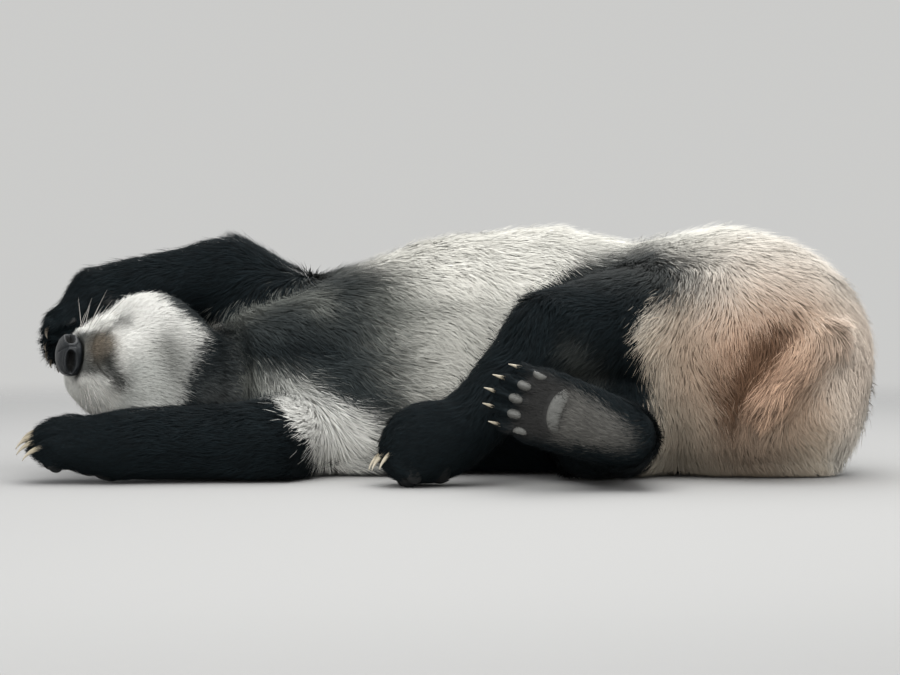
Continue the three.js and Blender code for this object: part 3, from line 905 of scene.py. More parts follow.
# Painted shade for the underside of the jaw.
JAW_SHADE_GREY = (0.30, 0.31, 0.285)
LIP_GREY = (0.062, 0.065, 0.060)
LIP_BLACK = (0.020, 0.022, 0.020)
SOLE_BROWN = (0.036, 0.035, 0.033)
HEEL_GREY = (0.150, 0.145, 0.130)
print("black fur reflects", BLACK, "and white fur", WHITE)


# %% Masks and brushes
owner = owners(points)
owner_name = np.array(flesh)[owner]
x, y, z = points.T
h = in_head(points)


def share_of(*words, rounds=8):
    """How far each point belongs to parts whose name holds one of the words, blurred at the borders."""
    chosen = np.array([any(word in name.split("_") for word in words) for name in flesh])
    return net.spread(chosen[owner].astype(float), rounds)


def share_of_leg(name):
    """How far each point belongs to parts whose name starts so, with a narrower border."""
    return net.spread(np.char.startswith(owner_name, name).astype(float), 3)


def stroke(path, wide):
    """A soft brush stroke along a path of (x, z) places, on the belly side only."""
    far = np.full(len(points), 9.0)
    for (x0, z0), (x1, z1) in zip(path[:-1], path[1:]):
        dx, dz = x1 - x0, z1 - z0
        share = np.clip(((x - x0) * dx + (z - z0) * dz) / (dx * dx + dz * dz), 0, 1)
        far = np.minimum(far, np.hypot(x - x0 - share * dx, z - z0 - share * dz))
    return bump(far, wide) * smooth_step(0.12, 0.05, y)


def paint(tint, share):
    """Lays a tint over the colour of every point, by a share from none to all."""
    colour[:] = colour + (np.array(tint) - colour) * np.clip(share, 0, 1)[:, None]


colour = np.tile(np.array(WHITE), (len(points), 1))
limb = share_of("fore", "hind")
ears = share_of("ear", rounds=3)
head_share = share_of("head", "jaw", rounds=5)
trunk = 1 - head_share
front = smooth_step(0.03, -0.05, y)
haunch = np.array([name.startswith("hind") and name.endswith("upper") for name in flesh])
haunch = net.spread(haunch[owner].astype(float), 8)
high_up = smooth_step(0.265, 0.300, z)
haunch_edge = 0.312 - 0.026 * bump(z - 0.235, 0.035) + 0.020 * high_up
haunch_end = smooth_step(1.0, -1.0, (x - haunch_edge) / (0.016 + 0.022 * high_up))
elbow_white = smooth_step(-0.012, 0.012, x + 0.262 + 0.70 * (z - 0.118)) * share_of_leg("fore_right")
leg_black = limb * (1 - haunch * (1 - haunch_end)) * (1 - elbow_white)

# The upper edge of the black thigh, as heights at a few places along the body.
THIGH_X = (-0.11, 0.01, 0.077, 0.110, 0.148, 0.190, 0.245, 0.30, 0.36, 0.43)
THIGH_Z = (0.05, 0.150, 0.250, 0.287, 0.318, 0.335, 0.343, 0.346, 0.340, 0.310)
soft_edge = 0.006 + 0.012 * smooth_step(0.16, 0.26, x)
under_thigh = smooth_step(1.0, -1.0, (z - np.interp(x, THIGH_X, THIGH_Z)) / soft_edge)
under_thigh *= smooth_step(0.12, 0.05, y)
under_thigh *= smooth_step(-0.11, -0.08, x) * haunch_end
hip_shade = bump(np.hypot((x - 0.322) / 0.060, (z - 0.312) / 0.036), 1.0) * 0.85 * trunk * front
yoke = smooth_step(-0.09, -0.20, x + 0.25 * (z - 0.3)) * trunk * smooth_step(-0.43, -0.39, x)
yoke *= 1 - smooth_step(0.06, 0.16, y) * smooth_step(-0.30, -0.36, x)
# Painted shade: in a soft band across the belly the grey reaches a little further towards the rump.
grey = smooth_step(-0.01, -0.15, x - 0.03 * bump(z - 0.267, 0.025)) * smooth_step(0.12, 0.04, y)
print("masks over", len(points), "points of the skin")

# %% Colours of belly and seat
paint(BELLY_GREY, grey * trunk * (1 - 0.35 * smooth_step(0.17, 0.07, z)))
cream = smooth_step(0.30, 0.18, z - 0.1 * np.abs(x - 0.45)) * smooth_step(0.63, 0.55, x)
paint(CREAM, 0.8 * cream * front * smooth_step(0.15, 0.30, x))
by_thigh = bump(x - 0.352, 0.040) * smooth_step(0.33, 0.28, z) * front
paint(CREAM, 0.5 * by_thigh)
paint(BELLY_GREY, 0.42 * by_thigh)
# Painted shade on the underside of the belly.
belly_underside_shade = smooth_step(0.302, 0.262, z) * smooth_step(0.20, 0.10, x) * smooth_step(0.06, 0.0, y)
paint(BELLY_GREY, 0.36 * belly_underside_shade)
seat = np.hypot((x - 0.505) / 0.160, (z - 0.195) / 0.125)
paint(PALE_STAIN, 0.95 * bump(seat, 1.0) * smooth_step(0.1, -0.05, y))
seat = np.hypot((x - 0.470) / 0.108, (z - 0.195) / 0.102)
paint(STAIN, 0.95 * bump(seat, 1.0) * smooth_step(0.1, -0.05, y))
CLEFT_AT = (0.460, 0.192)
along_cleft = unit((0.59, 0.81))
cleft_far = np.abs((x - CLEFT_AT[0]) * along_cleft[1] - (z - CLEFT_AT[1]) * along_cleft[0])
cleft_along = np.abs((x - CLEFT_AT[0]) * along_cleft[0] + (z - CLEFT_AT[1]) * along_cleft[1])
# Painted shade: the cleft of the seat and the groove beside it are darkened with the brown of the stain.
cleft = bump(cleft_far, 0.030) * bump(cleft_along, 0.085) * (y < 0.05)
paint(CLEFT_STAIN_AND_SHADE, 0.97 * smooth_step(0.1, 0.65, cleft))
beside_cleft = stroke([(0.405, 0.175), (0.412, 0.145), (0.425, 0.110)], 0.026)
paint(CLEFT_STAIN_AND_SHADE, 0.72 * beside_cleft)
# Painted shade: the seat darkens towards the floor.
paint(CLEFT_STAIN_AND_SHADE, 0.60 * smooth_step(0.14, 0.06, z) * bump(x - 0.45, 0.09) * (y < 0.05))
# Painted light on the side of the seat, where the rump turns away from the lamps.
painted_light_on_seat = stroke([(0.600, 0.235), (0.605, 0.180), (0.598, 0.130)], 0.036)
paint(SEAT_PAINTED_LIGHT, 0.85 * painted_light_on_seat)
print("belly and seat are coloured")

# %% Colours of shoulders, chest and thighs
paint(CHEST_GREY, yoke * 0.93)
# Strokes on the trunk: tint, strength, half width and path.
TRUNK_STROKES = (
    (BELLY_GREY, 0.75, 0.017, [(-0.347, 0.246), (-0.305, 0.275), (-0.260, 0.280), (-0.212, 0.268)]),
    (BLACK, 0.8, 0.020, [(-0.245, 0.318), (-0.18, 0.312), (-0.14, 0.314)]),
    # painted shadow in the hollow between the throat fur and the chest
    (BLACK, 0.85, 0.024, [(-0.310, 0.190), (-0.265, 0.203), (-0.235, 0.206), (-0.205, 0.198)]),
    (CHEST_GREY, 0.8, 0.017, [(-0.215, 0.170), (-0.177, 0.155), (-0.140, 0.136), (-0.128, 0.110)]),
)
for tint, strength, wide, path in TRUNK_STROKES:
    paint(tint, strength * stroke(path, wide) * trunk)
breast = stroke([(-0.386, 0.134), (-0.330, 0.157), (-0.285, 0.159), (-0.245, 0.141)], 0.018)
paint(BELLY_GREY, 0.95 * breast * trunk)
paint(FACE_WHITE, 0.35 * breast * smooth_step(-0.32, -0.26, x) * trunk)
armpit = bump(np.hypot((x + 0.205 + 0.3 * (z - 0.075)) / 0.085, (z - 0.072) / 0.070), 1.0) * (y < 0.02)
paint(FACE_WHITE, smooth_step(0.30, 0.75, armpit))
black = np.maximum(smooth_step(0.30, 0.62, leg_black), under_thigh * trunk)
paint(BLACK, black + hip_shade)
hip_mix = stroke([(0.215, 0.338), (0.300, 0.338), (0.375, 0.318)], 0.034)
paint(HIP_GREY, 0.55 * hip_mix)
ankle_light = stroke([(0.190, 0.205), (0.225, 0.170)], 0.022)
paint(BELLY_GREY, 0.30 * ankle_light * share_of_leg("hind_left"))
paint(TAIL_BROWN, 0.62 * share_of("tail"))
print("shoulders, chest, thighs and tail are coloured")

# %% Colours of throat, jaw and muzzle
above_jaw = (z - 0.263) + 0.65 * (x + 0.456)
behind_jaw = x + 0.397 + 0.39 * np.clip(0.205 - z, 0.0, 0.10)
throat = np.maximum(smooth_step(-0.009, 0.009, behind_jaw), smooth_step(-0.004, 0.010, above_jaw))
throat *= smooth_step(0.10, 0.05, y)
paint(FACE_WHITE, smooth_step(0.35, 0.65, head_share))
paint(CHEST_GREY, 0.95 * throat * smooth_step(0.2, 0.5, head_share))
collar_dark = bump(x + 0.375, 0.035) * smooth_step(0.06, 0.0, y) * smooth_step(0.140, 0.170, z)
paint(BLACK, 0.7 * collar_dark * throat)
ruff = stroke([(-0.380, 0.225), (-0.394, 0.200), (-0.410, 0.165), (-0.420, 0.125)], 0.019)
paint(BLACK, 0.88 * ruff)
# Painted shade: the top-back edge of the head, under the leg that lies over it, is painted black.
head_top_shade = smooth_step(0.004, 0.018, above_jaw) * smooth_step(0.06, 0.02, y)
head_top_shade *= smooth_step(0.2, 0.5, head_share)
paint(BLACK, 0.8 * head_top_shade)
# Painted shade on the underside of the jaw and the lower face.
jaw_shade = smooth_step(0.222, 0.165, z) * smooth_step(0.115, 0.095, h[:, 0]) * smooth_step(0.08, 0.02, y)
jaw_shade *= (1 - throat) * (1 - ruff)
paint(JAW_SHADE_GREY, 0.72 * jaw_shade * head_share)
# Painted shade on the throat just behind the jaw.
throat_shade = stroke([(-0.452, 0.208), (-0.438, 0.188), (-0.424, 0.150), (-0.418, 0.120)], 0.026)
throat_shade *= (1 - throat) * (1 - ruff)
paint(THROAT_SHADE_GREY, 0.80 * throat_shade * head_share)
upper_lip = smooth_step(0.118, 0.145, h[:, 0]) * smooth_step(-0.078, -0.066, h[:, 2])
upper_lip *= smooth_step(-0.048, -0.030, h[:, 1]) * smooth_step(0.042, 0.028, h[:, 1])
paint(LIP_GREY, 0.95 * upper_lip * smooth_step(-0.005, -0.03, h[:, 2]) * head_share)
chin = bump(np.linalg.norm((h - (0.134, 0.002, -0.068)) / (0.024, 0.031, 0.022), axis=1), 1.0)
paint(CHIN, 0.95 * smooth_step(0.0, 0.8, chin) * head_share)
chin_spot = stroke([(-0.528, 0.238), (-0.514, 0.239)], 0.0075)
paint(LIP_GREY, 0.6 * chin_spot * head_share)
# A dark fold runs back from each corner of the mouth. The one on the floor side is wide and soft, as
# painted shade on that side of the mouth.
for sign, wide in ((-1, 0.0175), (1, 0.0036)):
    corner = np.linspace((0.130, 0.024 * sign, -0.070), (0.112, 0.048 * sign, -0.062), 12)
    corner_far = distance_to(from_head(corner), points)
    paint(LIP_BLACK, 0.95 * bump(corner_far, wide) * head_share)
print("throat, jaw and muzzle are coloured")

# %% Colours of eye patches, ears, lips and lids
EYE_PATCH_LONG, EYE_PATCH_WIDE = 0.041, 0.030
for side, (ball, outward) in eyes.items():
    sign = 1 if side == "left" else -1
    patch_at = in_head(ball) + np.array((-0.010, 0.010 * sign, -0.012))
    lean = unit(np.array((-0.55, 0.35 * sign, -0.75)))
    offset = h - patch_at
    along = offset @ lean
    across_patch = np.linalg.norm(offset - along[:, None] * lean, axis=1)
    patch_far = np.hypot(along / EYE_PATCH_LONG, across_patch / EYE_PATCH_WIDE)
    paint(BLACK, smooth_step(1.15, 0.9, patch_far) * head_share)
ear_far = np.linalg.norm((h - EAR_AT) * (1, 0, 1), axis=1)
ear_far = np.hypot(ear_far, np.abs(h[:, 1]) - EAR_AT[1])
near_ear = smooth_step(0.058, 0.044, ear_far) * smooth_step(-0.02, 0.0, h[:, 2] - 0.05)
paint(BLACK, np.maximum(smooth_step(0.25, 0.6, ears), near_ear * head_share))
bare = bump(distance_to(mouth, points), 0.0020) * (0.25 + 0.45 * smooth_step(0.02, 0.05, np.abs(h[:, 1])))
paint(LIP_BLACK, bare)
for lid_line in lid_lines.values():
    paint(LIP_BLACK, bump(distance_to(lid_line, points), 0.003))
print("eye patches, ears, lips and lids are coloured")

# %% Colour of the bare sole, and how flecked the coat is
# One sole faces the camera: brown between the pads and grey towards the heel.
paw = paws["hind_right"]
local = (points - paw["roots"].mean(0)) @ paw["axes"].T
sole = smooth_step(-0.004, -0.016, local[:, 2]) * smooth_step(-0.01, -0.03, local[:, 0])
sole *= share_of_leg("hind_right_paw")
paint(SOLE_BROWN, 0.9 * sole * smooth_step(2.9, 2.2, np.abs(local[:, 1]) / paw["gap"]))
paint(HEEL_GREY, 0.7 * sole * smooth_step(-0.070, -0.10, local[:, 0]))

# Grey fur is black and white hair side by side, so tufts there differ more from their neighbours.
own_flecks = 0.35 * hip_mix + 0.30 * share_of("tail")
own_flecks += 0.22 * smooth_step(0.06, 0.125, h[:, 0]) * head_share
lightness = colour.mean(1)
half_grey = bump(lightness - 0.17, 0.13) * trunk + 1.5 * bump(lightness - 0.14, 0.10) * head_share
flecked = 0.04 + 0.38 * np.clip(half_grey, 0, 1.5) + 0.30 * (lightness < 0.03) + own_flecks
print("colours set on", len(colour), "points")

# %% [markdown]
# ## Which way the coat lies
# Hair runs from the nose back over the head, along the trunk to the tail, and down each leg to the toes.
# Combing it by hand would look best, but could not be repeated. So each part gets its own direction, then
# the directions are smoothed over the skin and laid flat on it. A soft random turn ruffles the coat.

# %% Lie of the coat
GRAVITY = 0.30
TOUSLED = 0.26
COMBING_ROUNDS = 8


def centre_of(name):
    return node_points(name).mean(0)


lie = np.tile(np.array((0.85, -0.30, -0.20)), (len(points), 1))
for leg, paw in paws.items():
    steps = [f"{leg}_upper", f"{leg}_lower", f"{leg}_paw"]
    centres = [centre_of(name) for name in steps]
    directions = [centres[1] - centres[0], centres[2] - centres[0], paw["axes"][0]]
    for name, direction in zip(steps, directions):
        lie[owner_name == name] = unit(direction)
lie[owner_name == "tail"] = unit(middle("tail") - centre_of("rump")) * (0.2, 1, 1) + (-0.4, 0, -0.6)
on_face = np.isin(owner_name, ["head", "jaw"])
lie[on_face] = unit(points - from_head((0.190, 0.0, -0.015)))[on_face]
for side, sign in (("left", 1), ("right", -1)):
    ear_base = from_head((-0.062, 0.06 * sign, 0.06))
    on_ear = owner_name == f"ear_{side}"
    lie[on_ear] = unit(points - ear_base)[on_ear]
seat_fan = bump(np.hypot((x - 0.47) / 0.07, (z - 0.15) / 0.10), 1.0) * (y < 0.05)
near_haunch = bump(x - 0.37, 0.07) * smooth_step(0.36, 0.28, z) * (y < 0.08) * trunk
far_end = smooth_step(0.50, 0.62, x)
armpit_fan = armpit * (1 - smooth_step(0.6, 0.95, limb))
# Places where the coat is parted or hangs: how strongly, and which way.
for fan, strength, way in (
    (seat_fan, 2.0, (-0.45, -0.2, -0.85)),
    (near_haunch, 2.2, (-0.45, -0.25, -0.85)),
    (far_end, 1.2, (0.1, -0.2, -0.9)),
    (armpit_fan, 1.6, (0.75, -0.35, -0.6)),
):
    lie += fan[:, None] * strength * np.array(way)
lie[:, 2] -= GRAVITY * (1 - share_of("head", "jaw", "paw"))
for _ in range(COMBING_ROUNDS):
    lie = net.spread(unit(lie), 5)
    lie -= out * (lie * out).sum(1, keepdims=True)
tousle = net.spread(dice.normal(0, 1, len(points)), 40)
tousle *= TOUSLED / tousle.std() * (1 - 0.6 * share_of("head", "jaw", "paw"))
lie = unit(lie + tousle[:, None] * np.cross(out, unit(lie)))
print("the coat lies towards", lie.mean(0).round(2), "on average")

# %% [markdown]
# ## How long the tufts are
# One length for the whole coat would make a toy of it. The length comes from the same table as the depth:
# under a centimetre on the muzzle, and more than four centimetres on the chest and rump. The tip of every
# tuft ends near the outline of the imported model.

# %% Length and depth
MUZZLE_HAIR, WHISKER_PAD_HAIR = 0.0075, 0.0140
EYE_HAIR, EYE_RISE = 0.0075, 0.003
HAIR_OVER_CLAWS, RISE_OVER_CLAWS = 0.012, 0.004
hair = net.spread(coat_measure(HAIR), 14)
rise = net.spread(coat_measure(DEPTH), 14)
muzzle = smooth_step(0.06, 0.125, h[:, 0]) * head_share
fluffy = smooth_step(0.030, 0.050, np.abs(h[:, 1])) * smooth_step(0.150, 0.130, h[:, 0])
hair += (MUZZLE_HAIR + WHISKER_PAD_HAIR * fluffy - hair) * muzzle
rise += (MUZZLE_COAT * (1 + 2.2 * fluffy) - rise) * muzzle
for ball, outward in eyes.values():
    near_eye = bump(np.linalg.norm(points - ball, axis=1), 0.028)
    hair += (EYE_HAIR - hair) * near_eye
    rise += (EYE_RISE - rise) * near_eye
rise *= 1 - 0.75 * smooth_step(0.03, 0.006, z) * smooth_step(0.1, -0.6, out[:, 2])
hair *= (1 + 0.25 * armpit_fan + 0.35 * seat_fan) * (1 - 0.35 * cleft)
# The fur of the upper forepaw hangs over its claws.
over_claws = share_of_leg("fore_left_paw")
hair += HAIR_OVER_CLAWS * over_claws
rise += RISE_OVER_CLAWS * over_claws
print("hair is", hair.min().round(4), "to", hair.max().round(4), "metres long")

# %% [markdown]
# ## Where the tufts stand
# A real coat has millions of hairs. Far fewer tufts look the same if they stand closer where hair is short
# and fine. Their roots are dealt over the triangles of the skin by area and closeness. None stand where
# the lips or the lids meet, on the nose and the pads, or under the animal where nobody sees them.

# %% How close the roots stand
LONG_TUFTS = 150000
SHORT_TUFTS = 96000
SHORT_BELOW = 0.027
SHORT_AMONG_LONG = 0.12
MUZZLE_CLOSER, HEAD_CLOSER, PAW_CLOSER = 5.0, 1.6, 1.2
NOSE_CLEARING = (0.034, 0.037, 0.027)

triangles = np.array([tuple(p.vertices) for p in body.polygons], np.int32)
side_a = points[triangles[:, 1]] - points[triangles[:, 0]]
side_b = points[triangles[:, 2]] - points[triangles[:, 0]]
area = np.linalg.norm(np.cross(side_a, side_b), axis=1) / 2

closeness = 1.0 + MUZZLE_CLOSER * muzzle + HEAD_CLOSER * head_share
closeness += PAW_CLOSER * share_of("paw", "ear", rounds=4)
hidden = smooth_step(0.012, 0.006, z) * smooth_step(-0.5, -0.8, out[:, 2])
closeness *= 1 - hidden
closeness *= smooth_step(0.0002, 0.0012, distance_to(mouth, points))
for lid_line in lid_lines.values():
    closeness *= smooth_step(0.0012, 0.0025, distance_to(lid_line, points))
closeness *= off_pads(points)
nose_far = np.linalg.norm((h - nose_middle + (NOSE_SET_BACK, 0, 0)) / NOSE_CLEARING, axis=1)
closeness *= smooth_step(0.80, 0.95, nose_far)
print("skin area", area.sum().round(2), "square metres")


# %% Deal the roots
def deal(count, wanted_share):
    """The triangle each root stands on, and its place between the three corners."""
    weight = area * (closeness * wanted_share)[triangles].mean(1)
    chosen = dice.choice(len(triangles), count, p=weight / weight.sum())
    r1, r2 = np.sqrt(dice.random(count)), dice.random(count)
    corner_share = np.stack([1 - r1, r1 * (1 - r2), r1 * r2], 1)
    return triangles[chosen], corner_share


def at_roots(values, picked):
    """Reads values of the points of the skin at the roots."""
    verts, corner_share = picked
    if values.ndim == 1:
        return (values[verts] * corner_share).sum(1)
    return (values[verts] * corner_share[:, :, None]).sum(1)


is_short = smooth_step(SHORT_BELOW + 0.004, SHORT_BELOW - 0.004, hair)
long_roots = deal(LONG_TUFTS, 1 - is_short)
short_roots = deal(SHORT_TUFTS, is_short + SHORT_AMONG_LONG)
print(LONG_TUFTS, "long tufts and", SHORT_TUFTS, "short ones")

# %% [markdown]
# ## A flat map of the skin for the tufts
# A program that reads the model may want its colours as a picture, and each tuft then needs its own small
# patch of a flat map. Unwrapping every tuft would take hours. A coarse copy of the skin is unwrapped
# instead, and a tuft takes the place on the map where it grows.

# %% Unwrap a coarse copy
MAP_VOXEL = 0.022
PATCH = 0.003
ISLAND_MARGIN = 0.004

coarse = remeshed(points, triangles, MAP_VOXEL)
coarse_object = add_object("flat_map", coarse)
bpy.context.view_layer.objects.active = coarse_object
coarse_object.select_set(True)
bpy.ops.object.mode_set(mode="EDIT")
bpy.ops.mesh.select_all(action="SELECT")
bpy.ops.uv.smart_project(angle_limit=math.radians(60), island_margin=ISLAND_MARGIN)
bpy.ops.object.mode_set(mode="OBJECT")
bmap = bmesh.new()
bmap.from_mesh(coarse)
bmesh.ops.triangulate(bmap, faces=bmap.faces)
map_layer = bmap.loops.layers.uv.active
map_points = np.array([v.co for v in bmap.verts])
map_faces = np.array([[v.index for v in f.verts] for f in bmap.faces])
map_uv = np.array([[loop[map_layer].uv for loop in f.loops] for f in bmap.faces])
bmap.free()
bpy.data.objects.remove(coarse_object)
map_tree = BVHTree.FromPolygons(map_points.tolist(), map_faces.tolist())


def flat_place(p):
    """The place on the flat map that belongs to each point."""
    found = np.array([map_tree.find_nearest(Vector(q))[2] for q in p])
    a, b, c = (map_points[map_faces[found, k]] for k in range(3))
    ab, ac, ap = b - a, c - a, p - a
    d00, d01, d11 = (ab * ab).sum(1), (ab * ac).sum(1), (ac * ac).sum(1)
    d20, d21 = (ap * ab).sum(1), (ap * ac).sum(1)
    scale = np.maximum(d00 * d11 - d01 * d01, 1e-14)
    v = np.clip((d11 * d20 - d01 * d21) / scale, 0, 1)
    w = np.clip((d00 * d21 - d01 * d20) / scale, 0, 1)
    total = np.maximum(v + w, 1.0)
    v, w = v / total, w / total
    corner_share = np.stack([1 - v - w, v, w], 1)
    return (map_uv[found] * corner_share[:, :, None]).sum(1)


print("the flat map has", len(map_faces), "triangles")

# %% [markdown]
# ## Growing the tufts
# A tuft is a flat closed spindle that leaves the skin steeply and bends over to lie with the coat. Single
# hairs of even direction would look like velvet. So every tuft turns a little its own way, neighbours lean
# together into locks, and a few long guard hairs stand proud of the rest.

# %% Grow the tufts
ROOT_SUNK = 0.0012
SHORTEST, LONGEST = 0.75, 1.15  # times the length of the hair at that place
LOWEST_LAYER, LAYERS_DEEP = 0.48, 0.38  # how high in the coat the tips lie
GUARD_SHARE, GUARD_RAISED = 0.14, (0.2, 0.8)
TURN_SPREAD = 0.16
BEND_AT, ARCH = 0.42, 1.5
TIP_CLEAR, BEND_CLEAR = 0.0015, 0.001  # above the floor
ROUND_IF_BLACK = 3.0
COLOUR_STEPS = 4
COLOUR_MIXED = 0.6


def wander(verts, steps):
    """Moves each point a few random steps along the mesh."""
    order = np.argsort(net.edges.ravel(), kind="stable")
    partner = net.edges[:, ::-1].ravel()[order]
    start = np.concatenate([[0], np.cumsum(np.bincount(net.edges.ravel(), minlength=net.count))])
    for _ in range(steps):
        pick = (dice.random(len(verts)) * (start[verts + 1] - start[verts])).astype(int)
        verts = partner[start[verts] + pick]
    return verts


def grow(picked, width_share, lock_size, lean, roundness):
    """Centre lines, widths and colours of tufts, as arrays with one row for each tuft."""
    count = len(picked[0])
    root, normal = at_roots(points, picked), unit(at_roots(out, picked))
    along = at_roots(lie, picked)
    length = at_roots(hair, picked) * dice.uniform(SHORTEST, LONGEST, count)
    guard = dice.random(count) < GUARD_SHARE
    layer_share = LOWEST_LAYER + LAYERS_DEEP * dice.random(count)
    layer_share += guard * dice.uniform(*GUARD_RAISED, count)
    height = np.minimum(at_roots(rise, picked) * layer_share, 0.8 * length)
    turn = (dice.normal(0, TURN_SPREAD, count) * (1 + 0.8 * guard))[:, None]
    side = np.cross(normal, along)
    along = unit(along + turn * side)
    side = unit(np.cross(normal, along))
    reach = np.sqrt(np.maximum(length**2 - height**2, 1e-8))
    tip = root + along * reach[:, None] + normal * height[:, None]
    # The tufts dealt first lead a lock each, and the rest lean towards the nearest leader.
    lock = KDTree(count // lock_size)
    for i in range(count // lock_size):
        lock.insert(root[i], i)
    lock.balance()
    leader = np.array([lock.find(p)[1] for p in root])
    same_way = (along * along[leader]).sum(1) > 0.3
    pull = np.where(same_way, lean * dice.uniform(0.6, 1.2, count), 0.0)[:, None]
    tip = tip + (tip[leader] - tip) * pull
    tip[:, 2] = np.maximum(tip[:, 2], TIP_CLEAR)
    base = root - normal * ROOT_SUNK
    arch = height * (BEND_AT * (1 - BEND_AT)) * ARCH
    bend = base + (tip - base) * BEND_AT + normal * arch[:, None]
    bend[:, 2] = np.maximum(bend[:, 2], BEND_CLEAR)
    half_width = width_share * length**0.5 * np.clip(1.45 - 0.80 * layer_share, 0.50, 1.3)
    # Many tufts take their colour from a few steps away, so that colours mix at their borders.
    verts = wander(picked[0][np.arange(count), picked[1].argmax(1)], COLOUR_STEPS)
    tone = colour[np.where(dice.random(count) < COLOUR_MIXED, verts, picked[0][:, 0])]
    mixed = at_roots(flecked, picked)
    tone = tone * (1 + mixed * dice.uniform(-1, 1, count))[:, None]
    tone = tone * (1 + 0.3 * mixed * dice.uniform(-1, 1, count)[leader])[:, None]
    rounder = np.where(tone.mean(1) < 0.05, ROUND_IF_BLACK, 1 + at_roots(muzzle, picked))
    return {
        "line": np.stack([base, bend, tip], 1),
        "side": side,
        "normal": normal,
        "half_width": half_width,
        "tone": tone,
        "round": roundness * rounder,
        "flat": flat_place(root),
    }


LONG_COAT = {"width_share": 0.0045, "lock_size": 6, "lean": 0.10, "roundness": 0.16}
SHORT_COAT = {"width_share": 0.0042, "lock_size": 5, "lean": 0.08, "roundness": 0.26}
long_coat = grow(long_roots, **LONG_COAT)
short_coat = grow(short_roots, **SHORT_COAT)
print("half the long tufts are wider than", np.median(2 * long_coat["half_width"]).round(5), "metres")

# %% [markdown]
# ## From tufts to mesh
# Making 246,000 objects, or adding faces one at a time, would take hours. Every tuft has the same five
# points and six faces, so whole pieces are written at once from arrays. The normals lie between those of
# the skin, which shade the coat as one soft form, and those of a round hair, which give each tuft a gleam.

# %% Make the pieces of the coat
TUFTS_PER_PIECE = 33000
TUFT_THICK = 0.55
# A tuft is painted darkest at its root, as shade deep in the coat, and lightest at its tip. Three points
# stand round its bend.
TUFT_SHADE = np.array((0.88, 0.97, 0.97, 0.97, 1.04))
TUFT_FACES = np.array([(2, 1, 0), (3, 2, 0), (1, 3, 0), (1, 2, 4), (2, 3, 4), (3, 1, 4)])
TUFT_POINTS = len(TUFT_SHADE)


def spindles(name, tufts, chosen):
    """One mesh piece made of the chosen tufts."""
    line, side, normal = tufts["line"][chosen], tufts["side"][chosen], tufts["normal"][chosen]
    tone, flat, count = tufts["tone"][chosen], tufts["flat"][chosen], len(chosen)
    wide = tufts["half_width"][chosen][:, None]
    base, bend, tip = line[:, 0], line[:, 1], line[:, 2]
    co = np.stack([base, bend + side * wide, bend + normal * wide * TUFT_THICK, bend - side * wide, tip], 1)
    first_point = np.arange(count) * TUFT_POINTS
    faces = (TUFT_FACES[None] + first_point[:, None, None]).reshape(-1, 3)
    mesh = bpy.data.meshes.new(name)
    mesh.vertices.add(count * TUFT_POINTS)
    mesh.vertices.foreach_set("co", co.astype(np.float32).ravel())
    mesh.loops.add(faces.size)
    mesh.loops.foreach_set("vertex_index", faces.ravel().astype(np.int32))
    mesh.polygons.add(len(faces))
    mesh.polygons.foreach_set("loop_start", np.arange(0, faces.size, 3, dtype=np.int32))
    mesh.update(calc_edges=True)
    spread_out = np.linspace(0.0, 1.0, TUFT_POINTS)
    patch = flat[:, None, :] + PATCH * (np.stack([spread_out, spread_out[::-1]], 1) - 0.5)
    uv = np.clip(patch.reshape(-1, 2), 0.0, 1.0)[faces.ravel()]
    mesh.uv_layers.new(name="OFBake").data.foreach_set("uv", uv.astype(np.float32).ravel())
    keep_on_points(mesh, "coat", np.clip(tone[:, None] * TUFT_SHADE[:, None], 0, 1))
    own = co - line.mean(1)[:, None]
    axis = unit(tip - base)[:, None]
    own -= (own * axis).sum(2, keepdims=True) * axis
    blend = unit(unit(own) * tufts["round"][chosen][:, None, None] + normal[:, None])
    mesh.normals_split_custom_set_from_vertices(blend.reshape(-1, 3).astype(np.float32))
    return add_object(name, mesh)


coat_pieces = []
for kind, tufts in (("long", long_coat), ("short", short_coat)):
    order = np.argsort(tufts["line"][:, 0, 0])
    for number, start in enumerate(range(0, len(order), TUFTS_PER_PIECE), 1):
        chosen = order[start : start + TUFTS_PER_PIECE]
        piece = spindles(f"coat_{kind}_{number}", tufts, chosen)
        coat_pieces.append(piece)
        print(piece.name, len(chosen), "tufts")

# %% [markdown]
# ## Materials
# No part of an animal has one even colour. The coat, the nose, the horn of the claws and the pads all vary
# a little in soft blotches, so that effect is one small group of nodes, placed in each material at its own
# scale. The larger changes of colour were stored on the points, and a material only has to read them.


# %% Uneven tone, shared by all materials
def add_node(tree, kind, **values):
    """A new node with some of its inputs set. From_Min stands for the input From Min."""
    node = tree.nodes.new(kind)
    for name, value in values.items():
        node.inputs[name.replace("_", " ")].default_value = value
    return node


